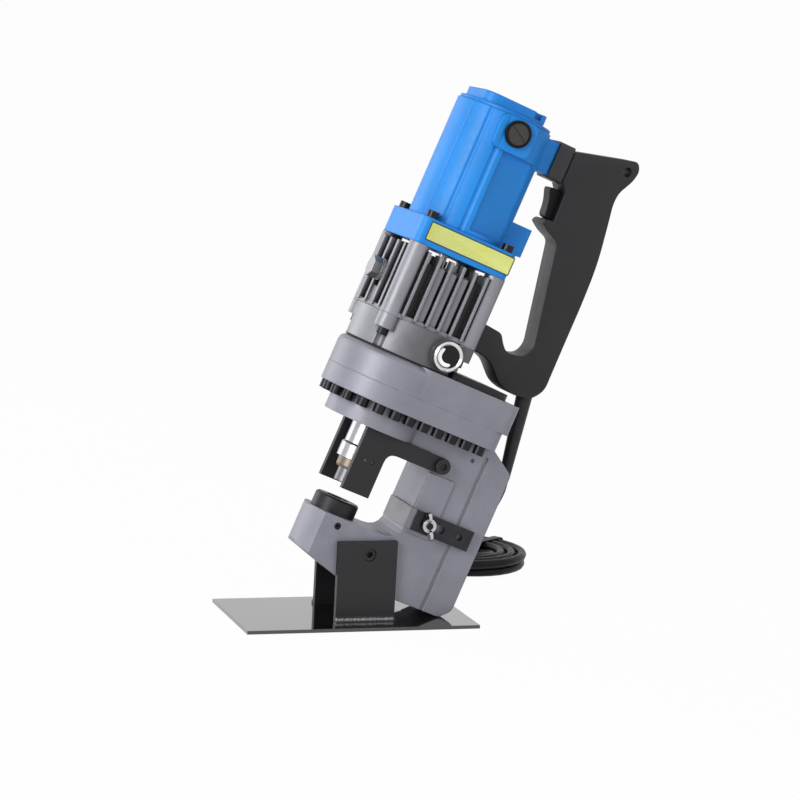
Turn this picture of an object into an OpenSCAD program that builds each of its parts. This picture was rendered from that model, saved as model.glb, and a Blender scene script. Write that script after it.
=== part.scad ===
// Portable electric hydraulic hole punch on a leaning stand.
// Lengths are millimetres. The machine itself is drawn upright around its punch axis, with x pointing
// to the handle and z rising from the top of the die, and is then leaned back onto its stand.

/* [Placement] */
// Angle by which the machine leans back on its stand
lean = 21.7; // [12:0.1:30]
// Place of the die's top centre along the base plate
die_x = -11.5; // [-20:0.5:0]

/* [Stand] */
// Length of the base plate
plate_l = 204; // [190:1:240]
// Width of the base plate
plate_w = 116; // [114:1:160]
// Thickness of the base plate
plate_t = 3; // [2:0.5:10]
// Width of each upright plate
upright_w = 52; // [44:1:60]
// Thickness of each upright plate
upright_t = 5.5; // [4:0.5:7]
// Height of the uprights' top edge above the stand bolts
upright_over = 11.5; // [9:0.5:14]
// Distance of an upright's middle behind the die
upright_back = 18.5; // [15:0.5:22]
// Radius of the stand bolts
stand_bolt_r = 5.5; // [4:0.5:7]
// Width of the weld beads at the uprights' feet
weld_w = 4; // [2:0.5:6]

/* [Frame] */
// Thickness of the cast frame
frame_t = 56; // [50:1:62]
// Depth of the throat behind the punch axis
throat_u = 55; // [48:1:60]
// Distance of the frame's back face behind the punch axis
back_u = 126; // [122:1:130]
// Reach of the nose in front of the punch axis
nose_u = 24; // [22:0.5:30]
// Radius of the nose seen from above
nose_r = 48; // [40:1:60]
// Height of the nose's front face
nose_h = 35; // [28:1:40]
// Depth of the frame's underside below the die's top
heel_v = 60.6; // [56:0.2:66]
// Height of the cylinder boss's underside above the die
boss_v = 67; // [64:1:70]
// Width of the top flange's rim outside the cylinder boss
boss_in = 12.5; // [11.5:0.5:16]
// Height of the top flange's underside above the die
flange_v = 88.6; // [86:0.2:92]
// Thickness of the top flange
flange_t = 16.4; // [12:0.2:20]
// Radius of the top flange at its round front
flange_r = 54; // [53:0.5:58]
// Distance of the top flange's rear end behind the punch axis
flange_rear_u = 99; // [94:1:102]
// Width of the top flange at its rear end
flange_rear_w = 94; // [90:1:100]

/* [Tooling] */
// Radius of the die
die_r = 19.5; // [17:0.5:21]
// Height of the die above its jaw
die_rise = 13; // [10:0.5:16]
// Depth of the die's seat in the jaw
die_seat = 11; // [8:0.5:14]
// Radius of the punch
punch_r = 10; // [6:0.5:10]
// Radial clearance between punch and die
die_clear = 0.5; // [0.3:0.1:1]
// Height of the punch's tip above the die at rest
punch_rest = 14; // [12:0.5:16]
// Width of the stripper's cheeks
stripper_w = 25.5; // [22:0.5:28]
// Thickness of the stripper plate
stripper_t = 5.5; // [4:0.5:7]
// Height of the stripper's foot above the die
stripper_v = 11; // [9:0.5:13]
// Height of the stripper's arms
arm_h = 14; // [12:0.5:16]
// Reach of the stripper's arms behind the punch axis
arm_u = 68; // [66:1:72]

/* [Gauge] */
// Length of the gauge bar
gauge_l = 63; // [56:1:68]
// Height of the gauge bar
gauge_h = 18; // [14:0.5:20]
// Thickness of the gauge bar
gauge_t = 4; // [3:0.5:5]
// Height of the gauge bar's lower edge above the die
gauge_v = 0.5; // [0:0.5:4]
// Forward travel of the gauge bar
gauge_travel = 14; // [8:1:16]

/* [Cylinder] */
// Radius of the cylinder's bore
bore_r = 30; // [26:0.5:32]
// Radius of the ram's rod
rod_r = 14.5; // [12:0.5:16]
// Working stroke of the ram
stroke = 20; // [15:1:20]
// Height of the piston
piston_h = 14; // [10:0.5:16]

/* [Pump] */
// Thickness of the cover flange
cover_t = 26; // [24:0.5:30]
// Radius of the skirt above the cover flange
skirt_r = 50; // [48:0.5:51]
// Height of the skirt
skirt_h = 28.5; // [26:0.5:32]
// Width of the square finned housing over its fins
housing_w = 92; // [90:0.5:96]
// Height of the finned housing
housing_h = 63.5; // [60:0.5:68]
// Number of fins on each side of the housing
fin_n = 6; // [4:1:8]
// Thickness of each fin
fin_t = 2.6; // [2:0.2:4]
// Depth of the gaps between the fins
fin_d = 7; // [5:0.5:7]
// Radius of the sight glass ring
sight_r = 12.75; // [10:0.25:13]
// Size of the oil plug across its flats
plug_af = 16; // [12:1:17]

/* [Motor] */
// Width of the square motor base
base_w = 89; // [86:0.5:92]
// Height of the motor base
base_h = 23; // [20:0.5:26]
// Radius of the motor housing
motor_r = 42.5; // [41:0.5:43.5]
// Height of the motor housing
motor_h = 105; // [100:1:112]
// Height of the end cap
cap_h = 12; // [10:0.5:16]
// Radius of the brush caps
brush_cap_r = 11.5; // [9:0.5:12]

/* [Handle] */
// Thickness of the handle over both shells
handle_t = 29; // [26:0.5:32]
// Distance from the collar to the handle's back
handle_reach = 62; // [60:1:66]
// Depth of the handle's knee below the finned housing
handle_sag = 22; // [18:0.5:24]
// Radius of the hanging hole
eye_r = 4; // [2.5:0.5:4.5]
// Travel of the trigger
trigger_travel = 5; // [3:0.5:6]

/* [Cord] */
// Diameter of the cord
cord_d = 8; // [6:0.5:8]
// Layers in the coil
coil_layers = 2; // [2:2:4]
// Turns that each layer of the coil winds in or out
layer_turns = 3; // [2:0.5:3]
// Inner radius of the coil at the middle of the cord
coil_r = 30; // [28:1:36]

/* [Hidden] */

$fn = 96;

// Fits and clearances
overrun = 1;
fit = 0.05;
seat_gap = 0.2;
free_gap = 0.4;

// Colours as the finished machine shows them
casting_grey = [0.46, 0.46, 0.50];
pump_grey = [0.45, 0.45, 0.47];
motor_blue = [0.10, 0.40, 0.82];
black_paint = [0.09, 0.09, 0.10];
black_oxide = [0.13, 0.13, 0.14];
black_plastic = [0.12, 0.12, 0.13];
bright_steel = [0.78, 0.78, 0.80];
zinc = [0.70, 0.70, 0.72];
brass = [0.72, 0.56, 0.28];
copper = [0.62, 0.34, 0.20];
rubber = [0.06, 0.06, 0.06];
glass = [0.12, 0.14, 0.15];

// Heights above the die's top
jaw_v = -die_rise;
flange_top = flange_v + flange_t;
boss_r = flange_r - boss_in;
cover_top = flange_top + cover_t;
gasket_t = 1;
skirt_v = cover_top + gasket_t;
housing_v = skirt_v + skirt_h;
housing_top = housing_v + housing_h;
base_v = housing_top;
motor_v = base_v + base_h;
motor_top = motor_v + motor_h;

// Frame casting
jaw_edge = 3;
throat_fillet = 16;
throat_top_fillet = 8;
sole_u = 17;
heel_chamfer = 9;
shoulder_drop = 14;
shoulder_in = 22.5;
edge_cut = 4;
groove_u = 98;
groove_w = 3;
groove_d = 1.2;
groove_top = 82;
pad_w = 25;
pad_h = 54;
pad_v = -3;
pad_t = 1.5;
pad_in = 1;
sight_hole_r = 1.8;
sight_hole_u = 88;
sight_hole_v = 74;
side_y = frame_t / 2;
shoulder_u = back_u - shoulder_in;
frame_deep = heel_v + flange_top;
die_z = plate_t + seat_gap + (back_u - heel_chamfer) * sin(lean) + heel_v * cos(lean);
flange_corner = 12;

// Screws under the top flange
flange_screw_r = 3;
flange_head_r = 5;
flange_head_h = 8;
flange_screw_in = 6.5;
flange_screw_deep = 12;
arc_screws = 11;
side_screws = 6;
side_pitch = 14;
socket_share = 0.55;
socket_deep_share = 0.6;

// Stand
stand_bolt_u = 35;
stand_bolt_v = -32.5;
stand_bolt_deep = 14;
stand_bolt_sink = 1.5;

// Die, punch, ram and cylinder
die_h = die_rise + die_seat;
die_hole_r = punch_r + die_clear;
die_land = 6;
die_relief = 1.2;
die_edge = 1.5;
slug_r = die_hole_r + die_relief;
set_screw_r = 3;
set_screw_sink = 2;
set_screw_drop = 7.5;
set_screw_v = jaw_v - set_screw_drop;
ram_head_r = 16.2;
ram_head_h = 12;
ram_end = 34.5;
spigot_r = 12;
spigot_h = 3.5;
nut_r = 13.5;
nut_h = 9;
nut_taper = 2;
punch_head_h = 3;
wiper_r = 19;
wiper_h = 4;
cover_roof = 7;
piston_top = cover_top - cover_roof - free_gap;
piston_v = piston_top - piston_h;
piston_gap = 0.5;
seal_w = 5;
seal_d = 3;
spring_r = 22.5;
spring_wire_r = 1.5;
spring_turns = 4;
spring_spare = 0.6;
spring_solid = (spring_turns + 1) * 2 * spring_wire_r;
cyl_floor = piston_v - stroke - spring_solid - spring_spare;
oil_hole_r = 3;

// Stripper
stripper_y = side_y + seat_gap;
stripper_top = boss_v - seat_gap;
arm_v = stripper_top - arm_h;
web_u = 22;
web_t = 4;
arm_bolt_u = 62;
arm_bolt_r = 4;
arm_head_r = 6.5;
arm_head_h = 4.5;
arm_bolt_deep = 14;
cheek_hole_r = 1.8;
cheek_hole_pitch = 8;
cheek_hole_v = 40;

// Gauge bar and its wing screw
gauge_leg_t = 3.6;
gauge_leg_y = 20;
gauge_slot_r = 3.4;
gauge_hole_r = 3;
gauge_hole_in = 11;
gauge_bend_t = 6;
gauge_bend_l = 13;
gauge_u = throat_u - free_gap - gauge_leg_t;
gauge_y = side_y + pad_t + seat_gap;
wing_in = 20;
wing_u = gauge_u + wing_in;
wing_screw_r = 3;
wing_hub_r = 6;
wing_hub_h = 7;
wing_deep = 16;
wing_r = 4.5;
wing_t = 2.6;
wing_out = 8;
wing_turn = 62;

// Cover flange, rear plate and skirt
cover_round = 7;
cover_bevel = 9;
cover_overhang = 5;
cover_rear_u = flange_rear_u + cover_overhang;
rear_plate_t = 6;
rear_plate_round = 5;
rear_plate_in = 10.5;
rear_plate_u = 35;
skirt_wall = 8;
ear_r = 9;
ear_h = 12.5;
corner_bolt = 36.5;
corner_screw_r = 3;
corner_head_r = 4.5;
corner_head_h = 6;
corner_screw_up = 20;
sight_u = 19;
sight_rise = 15;
sight_v = skirt_v + sight_rise;
sight_out = 6;
sight_ring_t = 3;
sight_rim = 3;
lens_t = 2;

// Finned housing
core_w = housing_w - 2 * fin_d;
cavity_wall = 3.7;
cavity_r = core_w / 2 - cavity_wall;
plate_wall = 2;
plate_cavity_r = core_w / 2 - plate_wall;
slot_h = 3.5;
window_h = 9;
front_fin_n = 4;
front_fin_t = 4;
infill_back = 2.6;
infill_slit = 1.8;
sill_back = 2;
sill_h = 17;
rim_h = 3.5;
fin_span_share = 0.72;
plug_rise = 31;
plug_v = housing_v + plug_rise;
plug_boss_r = 9.5;
plug_boss_out = 1;
plug_shank_r = 5;
plug_shank_l = 9;
plug_head_h = 8;
washer_t = 1.6;
washer_r = 9;

// Gears, eccentric and pump
pinion_n = 11;
gear_n = 31;
tooth_out_share = 0.9;
gear_room = 1.64;
gear_m = (cavity_r - gear_room) / (pinion_n / 2 + gear_n + tooth_out_share);
gear_c = gear_m * (pinion_n + gear_n) / 2;
gear_t = 9;
gear_drop = 19;
gear_v = housing_top - gear_drop;
tooth_in_share = 1.15;
tooth_root_share = 0.34;
tooth_tip_share = 0.1;
tooth_slack = 0.1;
block_gap = 0.3;
block_r = cavity_r - block_gap;
block_h = 40;
shaft_r = 4;
bearing_r = 8;
bearing_t = 6;
cam_r = 9.5;
cam_off = 1.5;
cam_h = 10;
cam_rise = 22;
cam_v = cover_top + cam_rise;
pocket_r = cam_r + cam_off + free_gap;
plunger_r = 4;
plunger_l = 28;
bearing_plate_drop = 10;
bearing_plate_v = gear_v - bearing_plate_drop;
bearing_plate_t = 7;

// Motor
base_corner = 7;
bolt_head_r = 5;
bolt_head_h = 6;
bolt_deep = 24;
motor_wall = 8;
seat_wall = 4;
motor_bearing_r = 11;
motor_bearing_t = 7;
rotor_shaft_r = 4;
rotor_r = 22;
rotor_gap = 0.7;
stack_rise = 26;
stack_v = motor_v + stack_rise;
stack_gap = 2.5;
coil_end_h = 9;
coil_end_r = 34;
coil_end_in = 25;
coil_span = 130;
winding_r = 19;
commutator_r = 12;
commutator_h = 15;
brush_drop = 13;
brush_v = motor_top - brush_drop;
stack_h = brush_v - commutator_h / 2 - stack_gap - coil_end_h - stack_v;
brush_w = 7;
holder_r = 6.5;
brush_l = 11;
holder_in = 2;
boss_w = 35;
boss_h = 30;
boss_corner = 7;
boss_out = 46.5;
brush_cap_t = 3;
brush_slot_w = 2.5;
brush_slot_turn = 30;
brush_slot_share = 0.7;
holder_end = 2;
brush_spring_r = 2.4;
brush_wire_r = 0.35;
brush_spring_turns = 7;
fan_r = 33;
fan_hub_r = 9;
fan_blades = 11;
fan_blade_t = 2;
fan_h = 9;
fan_disc_t = 2;
flute_r = 3;
flute_deep = 1.2;
panel_deep = 4.8;
panel_w = 35;
panel_rise = 4;
panel_h = motor_h - boss_h - panel_rise;
panel_angle = 70;
flute_angles = [28, 104, 126, 152];
rear_lug_u = 60;
rear_lug_w = 24;
rear_lug_h = 25;
rear_lug_rise = 1;
rear_lug_v = motor_v + rear_lug_rise;
motor_arm_u = 52.5;
motor_arm_w = 22;
motor_arm_h = 29;
motor_arm_drop = 31;
motor_arm_v = motor_top - motor_arm_drop;
cap_rim_in = 1.5;
cap_rim_h = 3;
cap_l = 60;
cap_w = 62;
cap_corner = 14;
cap_back = 2;
cap_notch_u = 14;
cap_notch_w = 7;
cap_notch_d = 6;
cap_notch_h = 6;

// Handle, switch and trigger
collar_l = 14.5;
collar_rim = 2;
handle_u = motor_arm_u + collar_l;
handle_rise = 12;
handle_top = motor_top + handle_rise;
handle_v = housing_v - handle_sag;
handle_h = handle_top - handle_v;
foot_u = housing_w / 2 + seat_gap;
foot_lift = 1;
foot_v = housing_v + foot_lift;
foot_h = 24;
foot_rise = 2;
handle_corner = 7;
eye_in = 11;
eye_drop = 12;
eye_u = handle_u + handle_reach - eye_in;
eye_v = handle_top - eye_drop;
trigger_w = 14;
trigger_drop = 64;
trigger_v = motor_top - trigger_drop;
trigger_h = 26;
trigger_out = 6;
trigger_in = 16;
trigger_nose = 4;
trigger_dip = 5;
switch_l = 24;
switch_w = 20;
switch_extra = 4;
handle_screw_r = 2;
handle_head_r = 3.6;
handle_head_h = 2.6;
handle_screw_l = 20;

// Cord: boot, route from the boot's end to the coil, coil, tie and plug
cord_r = cord_d / 2;
boot_r = 7.6;
boot_end_r = 4.8;
boot_l = 87;
boot_lean = 17;
cord_sides = 8;
coil_x = 168;
coil_y = 184;
coil_spread = 2;
layer_gap = 0.5;
climb_turns = 0.5;
loop_rings = 24;
coil_sides = 6;
curl_rings = 8;
tie_w = 9;
tie_t = 0.8;
tie_slack = 1.6;
plug_r = 14;
plug_l = 36;
plug_neck_r = 6;
plug_neck_l = 16;
plug_mid_r = 9;
tie_angle = 35;
pin_r = 2.4;
pin_l = 19;
pin_pitch = 19;

// Tables of shares: places on a piece as parts of its own sizes, with the corner's cut in the last column
handle_upper_shares = [[0.005, 0.934, 0.3], [0.92, 1, 0.8], [0.99, 0.968, 0.6], [0.955, 0.923, 0.6],
    [0.831, 0.86, 1], [0.823, 0.813, 1], [0.879, 0.73, 1], [0.968, 0.583, 3], [0.992, 0.428, 3],
    [0.992, 0.247, 3], [1, 0.06, 1], [0.855, 0.011, 0.8], [0.565, 0, 0.8], [0.339, 0.014, 1],
    [0.097, 0.078, 1], [-0.032, 0.091, 0.8]];
handle_lower_shares = [[0.074, 0.197, 0.5], [0.145, 0.166, 1], [0.242, 0.139, 1], [0.371, 0.141, 1],
    [0.53, 0.152, 1], [0.6, 0.196, 1], [0.29, 0.596, 0.6], [0.113, 0.614, 0.6], [-0.032, 0.64, 0.4],
    [0.016, 0.66, 0.3], [0.113, 0.66, 0.3], [0.097, 0.778, 0.5], [0.048, 0.796, 0.5], [0.005, 0.809, 0.2]];
handle_screw_shares = [[0.21, 0.884], [0.8, 0.52], [0.8, 0.196], [0, 0.147]];
boot_share = [0.8, 0.08];
route_shares = [[0, 0, 1], [-0.01454, 0, 0.916], [-0.046, 0.03, 0.81], [-0.092, 0.1, 0.69],
    [-0.153, 0.19, 0.58], [-0.22, 0.32, 0.455], [-0.28, 0.47, 0.33], [-0.325, 0.61, 0.225],
    [-0.35, 0.75, 0.14], [-0.335, 0.855, 0.07], [-0.275, 0.93, 0.033], [-0.18, 0.98, 0.012],
    [-0.085, 1, 0], [0, 1, 0]];
tail_shares = [[-1, 0.11], [-2, 0.39], [-3, 0.72], [-4, 0.94], [-5, 1], [-6, 1]];
round_shares = [[0, 0], [0.42, 0.09], [0.74, 0.33], [0.93, 0.66], [1, 1]];
corner_limit_share = 0.48;
corner_steps = 5;

// Curve that replaces the corner b between a and c, from a cut before it to a cut after it
function corner(a, b, c, cut) =
    let (la = norm(a - b), lc = norm(c - b), d = min(cut, la * corner_limit_share, lc * corner_limit_share))
    let (p = b + (a - b) * d / la, q = b + (c - b) * d / lc)
    cut == 0 ? [b] : [for (i = [0:corner_steps])
        let (t = i / corner_steps) (1 - t) * (1 - t) * p + 2 * t * (1 - t) * b + t * t * q];

// Outline with each corner [x, y, cut] eased by its cut
function soften(points) = let (n = len(points), flat = [for (p = points) [p.x, p.y]])
    [for (i = [0:n - 1]) each corner(flat[(i + n - 1) % n], flat[i], flat[(i + 1) % n], points[i].z)];

// Rectangle about the origin with eased corners
function eased_box(w, h, cut) = soften([[-w / 2, -h / 2, cut], [w / 2, -h / 2, cut],
    [w / 2, h / 2, cut], [-w / 2, h / 2, cut]]);

// Direction of a path at one of its points
function heading(path, i) = let (d = path[min(i + 1, len(path) - 1)] - path[max(i - 1, 0)]) d / norm(d);

// Ring of points round a path, square to it
function ring(path, i, r, sides, ref) = let (t = heading(path, i), a = cross(t, ref) / norm(cross(t, ref)))
    [for (k = [0:sides - 1]) path[i] + r * (cos(360 * k / sides) * a + sin(360 * k / sides) * cross(a, t))];

// One unbroken tube along a path
module tube(path, r, sides, ref) {
    last = (len(path) - 1) * sides;
    rings = [for (i = [0:len(path) - 1]) each ring(path, i, r, sides, ref)];
    walls = [for (i = [0:len(path) - 2], k = [0:sides - 1])
        let (a = i * sides + k, b = i * sides + (k + 1) % sides)
        each [[a, b, b + sides], [a, b + sides, a + sides]]];
    ends = [for (k = [1:sides - 2]) each [[0, k + 1, k], [last, last + k, last + k + 1]]];
    polyhedron(points = rings, faces = concat(walls, ends));
}

// Wire spring round the z axis from z = 0 to its length
function helix(r, l, turns) = let (n = turns * curl_rings)
    [for (i = [0:n]) [r * cos(360 * i / curl_rings), r * sin(360 * i / curl_rings), l * i / n]];
module wire_spring(r, wire_r, l, turns)
    translate([0, 0, wire_r]) tube(helix(r, l - 2 * wire_r, turns), wire_r, coil_sides, [0, 0, 1]);

// The upright machine set back onto its stand
module on_stand() translate([die_x, 0, die_z]) rotate([0, lean, 0]) children();

// Place on the stand of a point of the upright machine
function placed(u, v) = [die_x + u * cos(lean) + v * sin(lean), die_z - u * sin(lean) + v * cos(lean)];

// Plate with an outline seen from the side, centred across the machine
module slab(points, t) rotate([90, 0, 0]) linear_extrude(height = t, center = true) polygon(points);

// Bar with an outline seen from the front, running rearwards from u
module fore_aft(u, l, points) translate([u, 0, 0]) rotate([90, 0, 90])
    linear_extrude(height = l) polygon(points);

// Round bars: across the machine, rearwards, and upwards
module across(u, v, y0, y1, r) translate([u, y0, v]) rotate([-90, 0, 0]) cylinder(h = y1 - y0, r = r);
module rearward(u0, u1, y, v, r) translate([u0, y, v]) rotate([0, 90, 0]) cylinder(h = u1 - u0, r = r);
module upward(u, y, v0, v1, r) translate([u, y, v0]) cylinder(h = v1 - v0, r = r);

// Ring round the punch axis between two heights
module collar_ring(v0, v1, r_out, r_in) difference() {
    upward(0, 0, v0, v1, r_out);
    upward(0, 0, v0 - overrun, v1 + overrun, r_in);
}

// Both sides of the machine, and the four corners of a square pattern
module both_sides() {
    children();
    mirror([0, 1, 0]) children();
}
module four_corners(d) for (x = [-d, d], y = [-d, d]) translate([x, y, 0]) children();

// Hexagon socket cut from z = 0 downwards into a head of radius r
module socket(r, h) translate([0, 0, -h]) cylinder(h = h + overrun, r = r * socket_share, $fn = 6);

module base_plate() color(black_paint)
    translate([-plate_l / 2, -plate_w / 2, 0]) cube([plate_l, plate_w, plate_t]);

// Upright plate on the far side, with a weld bead along the outside of its foot
upright_x = die_x + upright_back;
upright_y = side_y + seat_gap;
stand_bolt_place = placed(stand_bolt_u, stand_bolt_v);
upright_top = stand_bolt_place.y + upright_over;
module upright() {
    difference() {
        translate([upright_x - upright_w / 2, upright_y, plate_t])
            cube([upright_w, upright_t, upright_top - plate_t]);
        translate([stand_bolt_place.x, upright_y - overrun, stand_bolt_place.y]) rotate([-90, 0, 0])
            cylinder(h = upright_t + 2 * overrun, r = stand_bolt_r + fit);
    }
    translate([upright_x - upright_w / 2, upright_y + upright_t, plate_t]) rotate([90, 0, 90])
        linear_extrude(height = upright_w) polygon([[0, 0], [weld_w, 0], [0, weld_w]]);
}
module far_upright() color(black_paint) upright();
module near_upright() color(black_paint) mirror([0, 1, 0]) upright();

module stand_bolts() color(black_oxide) on_stand() both_sides()
    difference() {
        across(stand_bolt_u, stand_bolt_v, side_y - stand_bolt_deep,
            upright_y + upright_t - stand_bolt_sink, stand_bolt_r);
        translate([stand_bolt_u, upright_y + upright_t - stand_bolt_sink, stand_bolt_v]) rotate([-90, 0, 0])
            socket(stand_bolt_r, stand_bolt_r);
    }

// Round-fronted plan shared by the top flange and the cover flange
function half_width(u) = flange_r + (flange_rear_w / 2 - flange_r) * u / flange_rear_u;
module round_front(v, h, r, r_top, rear_u) {
    translate([0, 0, v]) cylinder(h = h, r1 = r, r2 = r_top);
    rear = half_width(rear_u);
    translate([0, 0, v]) linear_extrude(height = h)
        polygon(soften([[0, -r_top, 0], [rear_u, -rear, flange_corner], [rear_u, rear, flange_corner],
            [0, r_top, 0]]));
}

// Places of the screws under the top flange
screw_circle = flange_r - flange_screw_in;
screw_places = concat(
    [for (i = [0:arc_screws - 1])
        let (a = 90 + 180 * i / (arc_screws - 1)) screw_circle * [cos(a), sin(a)]],
    [for (i = [1:side_screws], s = [-1, 1])
        [i * side_pitch, s * (half_width(i * side_pitch) - flange_screw_in)]]);

frame_outline = soften([[-nose_u, jaw_v, jaw_edge], [throat_u, jaw_v, throat_fillet],
    [throat_u, boss_v, throat_top_fillet], [0, boss_v, 0], [0, flange_v, 0], [shoulder_u, flange_v, 0],
    [back_u, flange_v - shoulder_drop, edge_cut], [back_u, heel_chamfer - heel_v, edge_cut],
    [back_u - heel_chamfer, -heel_v, edge_cut], [sole_u, -heel_v, edge_cut],
    [-nose_u, jaw_v - nose_h, edge_cut]]);

module c_frame() color(casting_grey) on_stand() difference() {
    union() {
        intersection() {
            slab(frame_outline, frame_t);
            translate([nose_r - nose_u, 0, -heel_v - overrun]) union() {
                cylinder(h = frame_deep, r = nose_r);
                translate([0, -frame_t, 0]) cube([back_u, 2 * frame_t, frame_deep]);
            }
        }
        upward(0, 0, boss_v, flange_top, boss_r);
        translate([0, -side_y, boss_v]) cube([flange_rear_u, frame_t, flange_top - boss_v]);
        round_front(flange_v, flange_t, flange_r, flange_r, flange_rear_u);
        both_sides() translate([throat_u + pad_in, side_y - overrun, pad_v])
            cube([pad_w, pad_t + overrun, pad_h]);
    }
    upward(0, 0, cyl_floor, flange_top + overrun, bore_r);
    upward(0, 0, boss_v - overrun, cyl_floor + overrun, rod_r + fit);
    upward(0, 0, boss_v - overrun, boss_v + wiper_h, wiper_r);
    upward(0, 0, jaw_v - die_seat, 0, die_r + fit);
    upward(0, 0, -heel_v - overrun, 0, slug_r);
    across(0, set_screw_v, -side_y - overrun, 0, set_screw_r + fit);
    both_sides() {
        across(stand_bolt_u, stand_bolt_v, side_y - stand_bolt_deep, side_y + overrun, stand_bolt_r + fit);
        across(arm_bolt_u, arm_v + arm_h / 2, side_y - arm_bolt_deep, side_y + overrun, arm_bolt_r + fit);
        across(sight_hole_u, sight_hole_v, side_y - sight_hole_r, side_y + overrun, sight_hole_r);
        translate([groove_u, side_y - groove_d, -heel_v - overrun])
            cube([groove_w, groove_d + overrun, heel_v + groove_top]);
    }
    across(wing_u, gauge_v + gauge_h / 2, -side_y - pad_t - overrun, wing_deep - side_y, wing_screw_r + fit);
    for (p = screw_places) upward(p.x, p.y, flange_v - overrun, flange_top + overrun, flange_screw_r + fit);
}

// Cap head under z = 0 with its socket at the lower end
module hanging_head(r, h) difference() {
    translate([0, 0, -h]) cylinder(h = h, r = r);
    translate([0, 0, -h]) mirror([0, 0, 1]) socket(r, h * socket_deep_share);
}

module flange_screws() color(black_oxide) on_stand() for (p = screw_places) translate([p.x, p.y, flange_v]) {
    hanging_head(flange_head_r, flange_head_h);
    cylinder(h = flange_t + flange_screw_deep, r = flange_screw_r);
}

module die() color(black_oxide) on_stand() difference() {
    union() {
        upward(0, 0, -die_h, -die_edge, die_r);
        translate([0, 0, -die_edge]) cylinder(h = die_edge, r1 = die_r, r2 = die_r - die_edge);
    }
    upward(0, 0, -die_h - overrun, overrun, die_hole_r);
    upward(0, 0, -die_h - overrun, -die_land, slug_r);
}

module die_set_screw() color(black_oxide) on_stand() difference() {
    across(0, set_screw_v, set_screw_sink - side_y, -die_r - seat_gap, set_screw_r);
    translate([0, set_screw_sink - side_y, set_screw_v]) rotate([90, 0, 0])
        socket(set_screw_r, set_screw_r);
}

// Stripper: two cheeks beside the punch, arms to the frame's sides and a web behind the ram
cheek_fillet = 9;
arm_end = 5;
cheek_outline = soften([[-stripper_w / 2, stripper_v, 0], [stripper_w / 2, stripper_v, 0],
    [stripper_w / 2, arm_v, cheek_fillet], [arm_u, arm_v, arm_end], [arm_u, stripper_top, arm_end],
    [-stripper_w / 2, stripper_top, 0]]);
module stripper() color(black_paint) on_stand() {
    both_sides() difference() {
        translate([0, stripper_y + stripper_t / 2, 0]) slab(cheek_outline, stripper_t);
        across(arm_bolt_u, arm_v + arm_h / 2, side_y, stripper_y + stripper_t + overrun, arm_bolt_r + fit);
        for (s = [-1, 1]) across(s * cheek_hole_pitch / 2, cheek_hole_v, side_y,
            stripper_y + stripper_t + overrun, cheek_hole_r);
    }
    translate([web_u, -stripper_y - stripper_t / 2, arm_v])
        cube([web_t, 2 * stripper_y + stripper_t, arm_h]);
}

arm_face_y = stripper_y + stripper_t;
module stripper_bolts() color(black_oxide) on_stand() both_sides() {
    across(arm_bolt_u, arm_v + arm_h / 2, side_y - arm_bolt_deep, arm_face_y, arm_bolt_r);
    difference() {
        across(arm_bolt_u, arm_v + arm_h / 2, arm_face_y, arm_face_y + arm_head_h, arm_head_r);
        translate([arm_bolt_u, arm_face_y + arm_head_h, arm_v + arm_h / 2]) rotate([-90, 0, 0])
            socket(arm_head_r, arm_head_h * socket_deep_share);
    }
}

// Gauge bar: slotted side bar with a leg that crosses the throat as the sheet's stop
module gauge_bar() color(black_oxide) on_stand() difference() {
    translate([gauge_u, 0, gauge_v]) union() {
        translate([0, -gauge_y - gauge_t, 0]) cube([gauge_l, gauge_t, gauge_h]);
        translate([0, -gauge_y - gauge_bend_t, 0]) cube([gauge_bend_l, gauge_bend_t, gauge_h]);
        translate([0, -gauge_y - gauge_t, 0]) cube([gauge_leg_t, gauge_y + gauge_t + gauge_leg_y, gauge_h]);
    }
    for (u = [wing_u, wing_u + gauge_travel])
        across(u, gauge_v + gauge_h / 2, -gauge_y - gauge_bend_t, overrun - gauge_y, gauge_slot_r);
    translate([wing_u, -gauge_y - gauge_bend_t, gauge_v + gauge_h / 2 - gauge_slot_r])
        cube([gauge_travel, gauge_bend_t + overrun, 2 * gauge_slot_r]);
    across(gauge_u + gauge_l - gauge_hole_in, gauge_v + gauge_h / 2, -gauge_y - gauge_bend_t,
        overrun - gauge_y, gauge_hole_r);
}

wing_y = gauge_y + gauge_t + seat_gap;
module gauge_screw() color(bright_steel) on_stand() translate([wing_u, 0, gauge_v + gauge_h / 2]) {
    across(0, 0, -wing_y, wing_deep - side_y, wing_screw_r);
    across(0, 0, -wing_y - wing_hub_h, -wing_y, wing_hub_r);
    for (s = [0, 180]) rotate([0, wing_turn + s, 0])
        translate([wing_out, -wing_y - wing_hub_h, -wing_t / 2]) cylinder(h = wing_t, r = wing_r);
}

// Ram: piston, rod, head and the spigot that the punch nut screws onto
piston_r = bore_r - piston_gap;
groove_v = piston_v + (piston_h - seal_w) / 2;
module ram() color(bright_steel) on_stand() rotate_extrude() polygon([[0, ram_end - spigot_h],
    [spigot_r, ram_end - spigot_h], [spigot_r, ram_end], [ram_head_r, ram_end],
    [ram_head_r, ram_end + ram_head_h], [rod_r, ram_end + ram_head_h + ram_head_r - rod_r],
    [rod_r, piston_v], [piston_r, piston_v],
    [piston_r, groove_v], [piston_r - seal_d, groove_v], [piston_r - seal_d, groove_v + seal_w],
    [piston_r, groove_v + seal_w], [piston_r, piston_top], [0, piston_top]]);

module piston_seal() color(rubber) on_stand()
    collar_ring(groove_v, groove_v + seal_w, bore_r - fit, piston_r - seal_d + fit);

module wiper_seal() color(rubber) on_stand()
    collar_ring(boss_v, boss_v + wiper_h, wiper_r - fit, rod_r + fit);

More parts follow.
